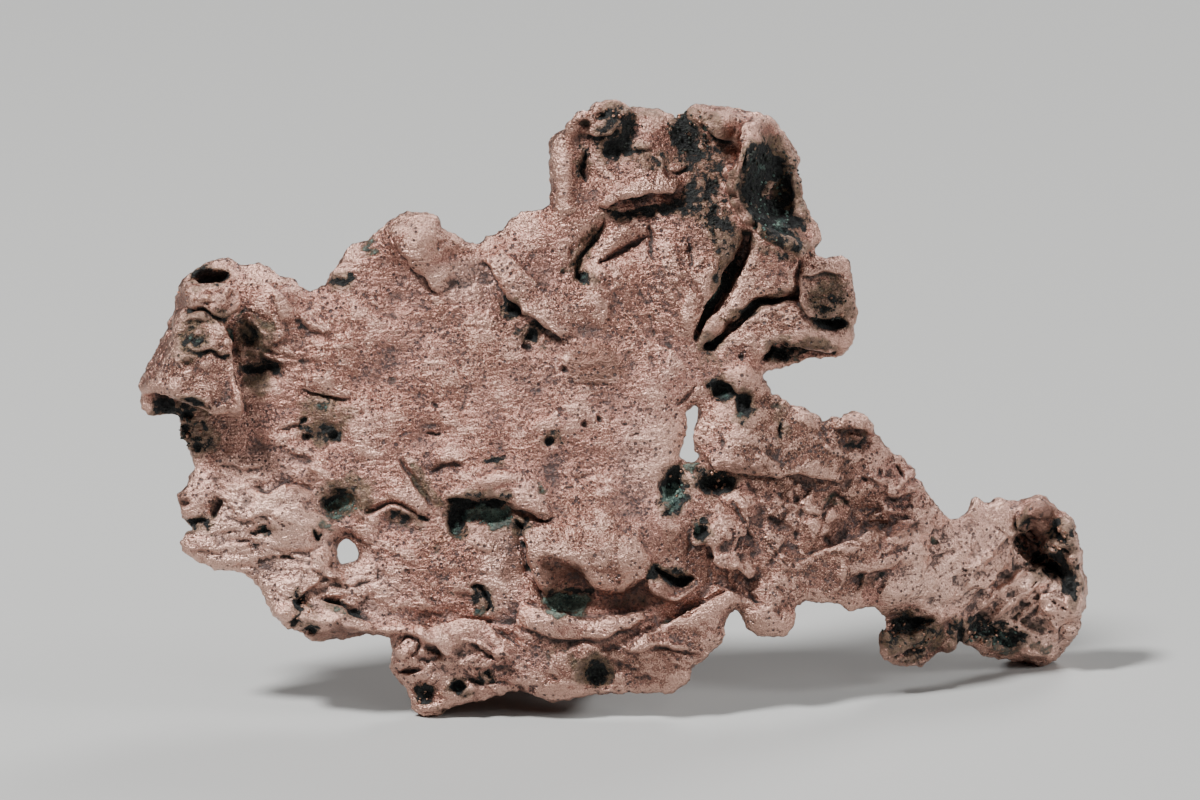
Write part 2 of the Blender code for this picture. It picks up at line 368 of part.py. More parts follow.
ROLLS = (
    # front foot, a bulb under the lower lobe
    ((-13.0, 1.9, 0.4, 0.7), (-13.5, 0.9, 0.1, 0.75), (-14.5, 0.75, -0.1, 0.85), (-15.2, 1.2, 0.0, 0.65),
     (-15.6, 2.3, 0.3, 0.6)),
    # knot of curls on the crest lobe
    ((-3.6, 44.2, 1.4, 0.55), (-3.4, 45.1, 2.1, 0.5), (-2.6, 45.6, 2.2, 0.5), (-1.9, 45.1, 2.0, 0.5),
     (-2.2, 44.3, 1.6, 0.5)),
    ((-2.0, 46.0, 0.9, 0.5), (-0.9, 46.3, 1.7, 0.5), (0.2, 46.2, 1.3, 0.5), (0.9, 45.6, 0.6, 0.5)),
    ((-0.9, 44.2, 1.2, 0.4), (-0.2, 44.9, 2.0, 0.5), (0.6, 45.4, 1.6, 0.4)),
    # curl in the hollow end of the arm
    ((30.9, 14.0, -9.6, 0.6), (31.2, 15.4, -8.8, 0.8), (32.2, 15.9, -8.9, 0.9), (33.2, 15.2, -9.8, 0.7),
     (33.3, 14.0, -10.6, 0.5)),
    # under the hollow end, down to the foot of the arm
    ((34.8, 7.6, -12.2, 1.0), (33.6, 5.6, -13.4, 1.0), (32.4, 4.8, -14.4, 1.2), (30.6, 5.2, -14.2, 1.1)),
    # rolled lip on top of the arm
    ((16.0, 22.2, -1.2, 0.45), (17.3, 22.4, -0.7, 0.65), (18.5, 22.4, -1.1, 0.6), (19.2, 21.8, -2.2, 0.5)),
)


def from_face(u, v, w):
    """Upright X, Y, Z of a point given on the face plane, all in millimetres."""
    cosine = math.cos(FACE_LEAN)
    sine = math.sin(FACE_LEAN)
    return np.stack([u + 0 * v, v * sine - w * cosine, v * cosine + w * sine], axis=-1)


def smooth_line(points, step, closed=False):
    """Points every step along a Catmull-Rom curve through the given ones, of any dimension."""
    points = np.array(points, float)
    count = len(points)
    spans = count if closed else count - 1
    line = []
    for i in range(spans):
        if closed:
            a, b, c, d = (points[(i + k) % count] for k in (-1, 0, 1, 2))
        else:
            a, b, c, d = (points[min(max(i + k, 0), count - 1)] for k in (-1, 0, 1, 2))
        pieces = max(1, round(float(np.linalg.norm(c - b)) / step))
        for t in np.arange(pieces) / pieces:
            line.append(
                0.5 * (2 * b + (c - a) * t + (2 * a - 5 * b + 4 * c - d) * t * t
                       + (3 * b - a - 3 * c + d) * t ** 3)
            )
    if not closed:
        line.append(points[-1])
    return np.array(line)


def ease(x):
    """0 below 0, 1 above 1 and smooth between."""
    x = np.clip(x, 0.0, 1.0)
    return x * x * (3.0 - 2.0 * x)


def along(points, path):
    """For each point: distance left of the path (negative on the right), and run from its nearer end."""
    starts = path[:-1]
    spans = path[1:] - starts
    lengths = np.linalg.norm(spans, axis=1)
    gaps = points[:, None, :] - starts[None]
    share = np.clip((gaps * spans).sum(-1) / lengths ** 2, 0.0, 1.0)
    away = gaps - share[..., None] * spans[None]
    distance = np.linalg.norm(away, axis=-1)
    nearest = distance.argmin(axis=1)
    rows = np.arange(len(points))
    side = spans[nearest, 0] * gaps[rows, nearest, 1] - spans[nearest, 1] * gaps[rows, nearest, 0]
    run = np.concatenate([[0.0], np.cumsum(lengths)])
    here = run[nearest] + share[rows, nearest] * lengths[nearest]
    signed = np.where(side >= 0, 1.0, -1.0) * distance[rows, nearest]
    return signed, np.minimum(here, run[-1] - here)


def inside(points, ring):
    """Whether each point lies inside the closed ring."""
    found = np.zeros(len(points), bool)
    for (x0, y0), (x1, y1) in zip(ring, np.roll(ring, -1, axis=0)):
        crosses = (y0 > points[:, 1]) != (y1 > points[:, 1])
        if y0 != y1:
            found ^= crosses & (points[:, 0] < x0 + (points[:, 1] - y0) * (x1 - x0) / (y1 - y0))
    return found


def oval(points, u, v, half_width, half_height, turn):
    """Distance from the centre of a turned oval, 1 on its edge."""
    angle = math.radians(turn)
    gap = points - (u, v)
    across = gap[:, 0] * math.cos(angle) + gap[:, 1] * math.sin(angle)
    up = gap[:, 1] * math.cos(angle) - gap[:, 0] * math.sin(angle)
    return np.hypot(across / half_width, up / half_height)


def rough(points, size, layer):
    """Smooth noise of about plus or minus one, with bumps of the given size."""
    return np.array([
        noise.fractal((p[0] / size, p[1] / size, layer), 1.0, 2.0, 3) for p in points
    ])


def bow(points):
    """Mid depth of the leaf, pulled smoothly through the bow points."""
    bows = np.array(BOWS)
    reach = ((points[:, None, :] - bows[None, :, :2]) ** 2).sum(-1) / (2 * BOW_REACH ** 2)
    weights = np.exp(-reach) + 1e-9
    return (weights * bows[:, 2]).sum(1) / weights.sum(1)


def relief(points, ledges, grooves, lumps, pockets):
    """Height of one side's relief, and the sideways shift that makes its ledges overhang."""
    height = np.zeros(len(points))
    shift = np.zeros((len(points), 2))
    for u, v, half_width, half_height, turn, rise in lumps:
        r = oval(points, u, v, half_width, half_height, turn)
        height += rise * np.clip(1 - r * r, 0, 1) ** LUMP_FALL
    for path, rise, reach, dip, overhang in ledges:
        line = smooth_line(path, LINE_STEP)
        side, from_end = along(points, line)
        strength = ease(from_end / LEDGE_END)
        above = ease(side / LEDGE_DROP + 0.5)
        top = rise * np.exp(-np.maximum(side, 0) / reach)
        bottom = -dip * np.exp(np.minimum(side, 0) / DIP_REACH)
        height += strength * (above * top + (1 - above) * bottom)
        heading = line[-1] - line[0]
        down = np.array([heading[1], -heading[0]]) / np.linalg.norm(heading)
        push = strength * above * overhang * np.exp(-np.maximum(side, 0) / OVERHANG_REACH)
        shift += push[:, None] * down
    for path, depth, half_width in grooves:
        side, from_end = along(points, smooth_line(path, LINE_STEP))
        width = half_width * (0.5 + 0.5 * ease(from_end / (2 * GROOVE_END)))
        across = np.clip(np.abs(side) / width, 0, 1)
        height -= depth * ease(from_end / GROOVE_END) * (1 - across ** 2) ** GROOVE_FALL
    for u, v, half_width, half_height, turn, depth in pockets:
        r = oval(points, u, v, half_width, half_height, turn)
        height -= depth * ease((POCKET_EDGE - r) / POCKET_WALL)
    return height, shift


def face_points(rim, holes):
    """Rim points, hole points and a loose triangular grid of points inside, with the rings' edges."""
    rings = [rim] + holes
    fixed = np.concatenate(rings)
    edges = []
    start = 0
    for ring in rings:
        edges += [(start + i, start + (i + 1) % len(ring)) for i in range(len(ring))]
        start += len(ring)
    low = rim.min(axis=0)
    high = rim.max(axis=0)
    row_height = FACE_STEP * math.sqrt(3) / 2
    rows = [
        (u + (row % 2) * FACE_STEP / 2, low[1] + row * row_height)
        for row in range(int((high[1] - low[1]) / row_height) + 1)
        for u in np.arange(low[0], high[0], FACE_STEP)
    ]
    grid = np.array(rows)
    keep = inside(grid, rim)
    for hole in holes:
        keep &= ~inside(grid, hole)
    grid = grid[keep]
    clear = np.full(len(grid), np.inf)
    for first in range(0, len(grid), 2000):
        gaps = grid[first:first + 2000, None, :] - fixed[None]
        clear[first:first + 2000] = np.linalg.norm(gaps, axis=-1).min(axis=1)
    return np.concatenate([fixed, grid[clear > 0.5 * FACE_STEP]]), edges, len(fixed)


def leaf():
    """The broad leaf as one closed mesh: triangles over the outline, front and back, and its rim."""
    rim = smooth_line(RIM, RIM_STEP, closed=True)
    turns = np.linspace(0, 2 * math.pi, HOLE_SIDES, endpoint=False)
    hole = np.stack([
        HOLE_CENTRE[0] + HOLE_RADII[0] * np.cos(turns), HOLE_CENTRE[1] + HOLE_RADII[1] * np.sin(turns)
    ], axis=1)
    slot = smooth_line(SLOT, LINE_STEP, closed=True)
    points, edges, rim_count = face_points(rim, [hole, slot])
    flat, _, triangles, *_ = geometry.delaunay_2d_cdt(
        [Vector(p) for p in points], edges, [], 0, 1e-6
    )
    points = np.array([tuple(p) for p in flat])
    triangles = np.array([t for t in triangles if len(t) == 3])
    middles = points[triangles].mean(axis=1)
    keep = inside(middles, rim) & ~inside(middles, hole) & ~inside(middles, slot)
    triangles = triangles[keep]
    a, b, c = (points[triangles[:, k]] for k in range(3))
    turn = (b[:, 0] - a[:, 0]) * (c[:, 1] - a[:, 1]) - (b[:, 1] - a[:, 1]) * (c[:, 0] - a[:, 0])
    triangles[turn < 0] = triangles[turn < 0][:, ::-1]

    to_rim = np.full(len(points), np.inf)
    for ring in (rim, hole, slot):
        side, _ = along(points, np.concatenate([ring, ring[:1]]))
        to_rim = np.minimum(to_rim, np.abs(side))
    swell = np.sqrt(np.clip(1 - (1 - np.clip(to_rim / RIM_REACH, 0, 1)) ** 2, 0, 1))
    thickness = RIM_THICKNESS + (LEAF_THICKNESS - RIM_THICKNESS) * swell
    middle = bow(points)
    height, shift = relief(points, LEDGES, GROOVES, LUMPS, POCKETS)
    height += HAMMERED * rough(points, FRONT_BUMPS, 1.7) * swell
    behind, _ = relief(points, BACK_LEDGES, BACK_GROOVES, BACK_LUMPS, BACK_POCKETS)
    broad, small = BACK_BUMPS
    behind += HAMMERED * (rough(points, broad, 8.3) + SMALL_BUMP_SHARE * rough(points, small, 4.1))
    front = middle + thickness / 2 + height * (RIM_RELIEF + (1 - RIM_RELIEF) * swell)
    back = middle - thickness / 2 + (BACK_ECHO * height - behind) * swell
    back = np.minimum(back, front - LEAST_THICKNESS)
    shift *= swell[:, None]
    corners = np.concatenate([
        from_face(points[:, 0] + shift[:, 0], points[:, 1] + shift[:, 1], front),
        from_face(points[:, 0], points[:, 1], back),
    ])

    count = len(points)
    sides = np.concatenate([triangles[:, [0, 1]], triangles[:, [1, 2]], triangles[:, [2, 0]]])
    paired = {(int(i), int(j)) for i, j in sides}
    faces = [tuple(int(i) for i in t) for t in triangles]
    faces += [tuple(int(i) + count for i in t[::-1]) for t in triangles]
    faces += [(j, i, i + count, j + count) for i, j in sorted(paired) if (j, i) not in paired]
    return new_mesh("leaf", corners, faces)


def new_mesh(name, corners, faces):
    mesh = bpy.data.meshes.new(name)
    mesh.from_pydata([tuple(c) for c in corners], [], faces)
    mesh.validate()
    piece = bpy.data.objects.new(name, mesh)
    bpy.context.scene.collection.objects.link(piece)
    return piece


def shaped(piece):
    """The piece's mesh with its modifiers applied. The piece itself is removed."""
    graph = bpy.context.evaluated_depsgraph_get()
    mesh = bpy.data.meshes.new_from_object(piece.evaluated_get(graph))
    bpy.data.objects.remove(piece)
    return mesh


def fold(name, rows, thickness):
    """A curved sheet through a grid of upright points, thickened to both sides."""
    rows = np.array(rows, float)
    down, across = rows.shape[:2]
    faces = [
        (r * across + c, r * across + c + 1, (r + 1) * across + c + 1, (r + 1) * across + c)
        for r in range(down - 1)
        for c in range(across - 1)
    ]
    piece = new_mesh(name, rows.reshape(-1, 3), faces)
    curve = piece.modifiers.new("Curve", "SUBSURF")
    curve.levels = FOLD_LEVELS
    curve.render_levels = FOLD_LEVELS
    clouds = bpy.data.textures.new("Crumple", "CLOUDS")
    clouds.noise_scale = CRUMPLE_SIZE
    crumple = piece.modifiers.new("Crumple", "DISPLACE")
    crumple.texture = clouds
    crumple.strength = CRUMPLE
    wall = piece.modifiers.new("Wall", "SOLIDIFY")
    wall.thickness = thickness
    wall.offset = 0.0
    return shaped(piece)


def roll(name, points):
    """A rod of changing radius along a smooth line through face points."""
    line = smooth_line(points, ROLL_STEP)
    curve = bpy.data.curves.new(name, "CURVE")
    curve.dimensions = "3D"
    curve.bevel_depth = 1.0
    curve.bevel_resolution = 3
    curve.use_fill_caps = True
    spline = curve.splines.new("POLY")
    spline.points.add(len(line) - 1)
    for point, (u, v, w, radius) in zip(spline.points, line):
        point.co = (*from_face(u, v, w), 1.0)
        point.radius = radius
    piece = bpy.data.objects.new(name, curve)
    bpy.context.scene.collection.objects.link(piece)
    return shaped(piece)


def face_rows(rows):
    return [[from_face(*point) for point in row] for row in rows]


def joined(pieces):
    """One mesh object holding all the given meshes."""
    shell = bmesh.new()
    for mesh in pieces:
        shell.from_mesh(mesh)
    bmesh.ops.recalc_face_normals(shell, faces=shell.faces)
    mesh = bpy.data.meshes.new("native_copper")
    shell.to_mesh(mesh)
    shell.free()
    piece = bpy.data.objects.new("native_copper", mesh)
    bpy.context.scene.collection.objects.link(piece)
    return piece


def keep_largest(shell):
    """Removes every loose scrap and sealed bubble, so that one closed body is left."""
    left = set(shell.verts)
    bodies = []
    while left:
        body = [left.pop()]
        for vert in body:
            for edge in vert.link_edges:
                other = edge.other_vert(vert)
                if other in left:
                    left.remove(other)
                    body.append(other)
        bodies.append(body)
    bodies.sort(key=len)
    scraps = [vert for body in bodies[:-1] for vert in body]
    bmesh.ops.delete(shell, geom=scraps, context="VERTS")


def wear_feet(shell):
    """Cuts the feet flat at GROUND, which becomes zero height."""
    bmesh.ops.translate(shell, vec=(0, 0, -GROUND), verts=shell.verts)
    cut = bmesh.ops.bisect_plane(
        shell, geom=shell.verts[:] + shell.edges[:] + shell.faces[:], dist=1e-5,
        plane_co=(0, 0, 0), plane_no=(0, 0, 1), clear_inner=True,
    )
    for item in cut["geom_cut"]:
        if isinstance(item, bmesh.types.BMVert):
            item.co.z = 0.0
    open_edges = [edge for edge in shell.edges if edge.is_boundary]
    bmesh.ops.holes_fill(shell, edges=open_edges, sides=0)
    bmesh.ops.triangulate(shell, faces=[face for face in shell.faces if len(face.verts) > 3])


def copper():
    """Satin native copper, as its plain colour."""
    material = bpy.data.materials.new("native copper")
    material.use_nodes = True
    shader = material.node_tree.nodes["Principled BSDF"]
    shader.inputs["Base Color"].default_value = (0.56, 0.34, 0.27, 1.0)
    shader.inputs["Roughness"].default_value = 0.45
    shader.inputs["Metallic"].default_value = 1.0
    return material


def nugget():
    pieces = [
        shaped(leaf()),
        fold("wing", face_rows(WING_FOLD), FOLD_THICKNESS),
        fold("wing sleeve", face_rows(SLEEVE_FOLD), FOLD_THICKNESS),
        fold("ear", face_rows(EAR_FOLD), FOLD_THICKNESS),
        fold("ear lobe", face_rows(EAR_LOBE_FOLD), FOLD_THICKNESS),
        fold("back flap", face_rows(BACK_FLAP), FLAP_THICKNESS),
        fold("rear foot", FOOT_FOLD, FOOT_THICKNESS),
    ]
    pieces += [roll("roll", points) for points in ROLLS]
    body = joined(pieces)

    skin = body.modifiers.new("Skin", "REMESH")
    skin.mode = "VOXEL"
    skin.voxel_size = SKIN_STEP
    soften = body.modifiers.new("Soften", "SMOOTH")
    soften.factor = 0.5
    soften.iterations = SKIN_SOFTENING
    mesh = shaped(body)
    mesh.calc_loop_triangles()
    share = MOST_TRIANGLES / len(mesh.loop_triangles)
    body = bpy.data.objects.new("native_copper", mesh)
    bpy.context.scene.collection.objects.link(body)
    facets = body.modifiers.new("Facets", "DECIMATE")
    facets.ratio = share
    facets.use_collapse_triangulate = True
    mesh = shaped(body)

    shell = bmesh.new()
    shell.from_mesh(mesh)
    keep_largest(shell)
    wear_feet(shell)
    corners = np.array([vert.co for vert in shell.verts])
    centre = (corners.min(axis=0) + corners.max(axis=0)) / 2
    bmesh.ops.translate(shell, vec=(-centre[0], -centre[1], 0), verts=shell.verts)
    bmesh.ops.scale(shell, vec=(MM, MM, MM), verts=shell.verts)
    mesh = bpy.data.meshes.new("copper_nugget")
    shell.to_mesh(mesh)
    shell.free()
    mesh.materials.append(copper())
    part = bpy.data.objects.new("copper_nugget", mesh)
    bpy.context.scene.collection.objects.link(part)


for thing in list(bpy.data.objects):
    bpy.data.objects.remove(thing)
nugget()
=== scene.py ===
import math

import bpy
import numpy as np
from mathutils import Matrix, Vector, noise


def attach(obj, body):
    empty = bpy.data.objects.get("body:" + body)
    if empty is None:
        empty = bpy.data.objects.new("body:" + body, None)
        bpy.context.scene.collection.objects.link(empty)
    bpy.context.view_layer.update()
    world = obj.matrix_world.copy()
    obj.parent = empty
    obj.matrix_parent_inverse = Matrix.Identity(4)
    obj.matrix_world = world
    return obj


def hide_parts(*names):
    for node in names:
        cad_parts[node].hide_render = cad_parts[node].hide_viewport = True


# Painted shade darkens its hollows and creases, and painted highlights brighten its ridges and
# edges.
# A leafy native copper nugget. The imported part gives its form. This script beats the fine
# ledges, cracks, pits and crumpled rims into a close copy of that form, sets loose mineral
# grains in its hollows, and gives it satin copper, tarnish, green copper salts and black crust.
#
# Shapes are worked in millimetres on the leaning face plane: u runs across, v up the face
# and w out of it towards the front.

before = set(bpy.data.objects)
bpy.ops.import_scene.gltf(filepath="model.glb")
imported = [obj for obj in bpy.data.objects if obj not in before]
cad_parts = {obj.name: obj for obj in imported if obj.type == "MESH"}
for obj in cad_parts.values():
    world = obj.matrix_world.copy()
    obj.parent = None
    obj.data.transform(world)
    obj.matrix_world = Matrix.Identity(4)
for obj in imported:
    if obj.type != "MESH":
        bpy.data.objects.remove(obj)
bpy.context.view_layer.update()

MM = 0.001
FACE_LEAN = math.radians(15.0)
FACE_ORIGIN = (-0.1171, 7.3012, 0.1)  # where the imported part's origin is on the face's axes
VIEW_MIDDLE = (-1.36, 24.1)  # of the face, in the middle of the picture
VIEW_WIDTH = 0.0909474  # of the face that fills the picture, in metres, from a metre away

NET_STEP = 0.17
NET_SOFTENING = 9  # rounds
PLANISHING = 26  # rounds of smoothing that take the facets out of the broad faces
SKIN_TRIANGLES = 197000
SHEET_DEPTH = 1.3  # a surface this far behind the foremost one is a hidden sheet
DEPTH_CELL = 0.35
HALF_DEPTH = 8.95  # what stands out further than this from the middle plane
PROUD_SHARE = 0.5  # is held back to this share

# Unevenness all over: height, size of its bumps, seed, octaves.
UNDULATION = (0.26, 4.2, 0.0, 2)
RIPPLES = (0.055, 0.85, 5.0, 3)
RIPPLE_SQUEEZE = (0.45, 1.0, 1.0)
RIM_BUMPS = ((0.18, 1.1, 17.0, 3), (0.14, 0.5, 23.0, 2))
PLATE_LAYERS = ((2.4, 0.5), (1.1, 0.45))  # sizes and tilts
PLATE_STRETCH = 1.9
SMALL_PIT_DEPTH = 0.14
SMALL_PIT_SPACING = 1.15
CRUST_RISE = 0.16

# How strokes are cut.
LINE_STEP = 0.3  # between the points along a path
LIP_CUT = 0.6  # share of a lip's given cut
LIP_END = 0.9  # a lip fades out over this much of each end
LIP_EDGE = 0.3
CUT_PLACE = -0.2  # middle of the cut; less than 0 is right of the lip's path
CUT_WIDTH = 0.26
OVERHANG_REACH = 0.5
CREASE_END = 0.6
CREASE_POINT = 0.3  # share of its width that a crease keeps at its ends
CREASE_SHARPNESS = 1.3
PIT_DEPTH = 0.6  # share of a pit's given depth that is cut beyond the part's own pocket
PIT_WALL = (1.3, 0.8)  # outer radius of the wall and its width, where the oval's edge is 1
PATCH_EDGE = (1.35, 0.7)  # the same for a patch of colour

# ------------------------------------------------------------------ strokes on the front
# Ovals below are (u, v, half width, half height, strength), and their turn in degrees last.

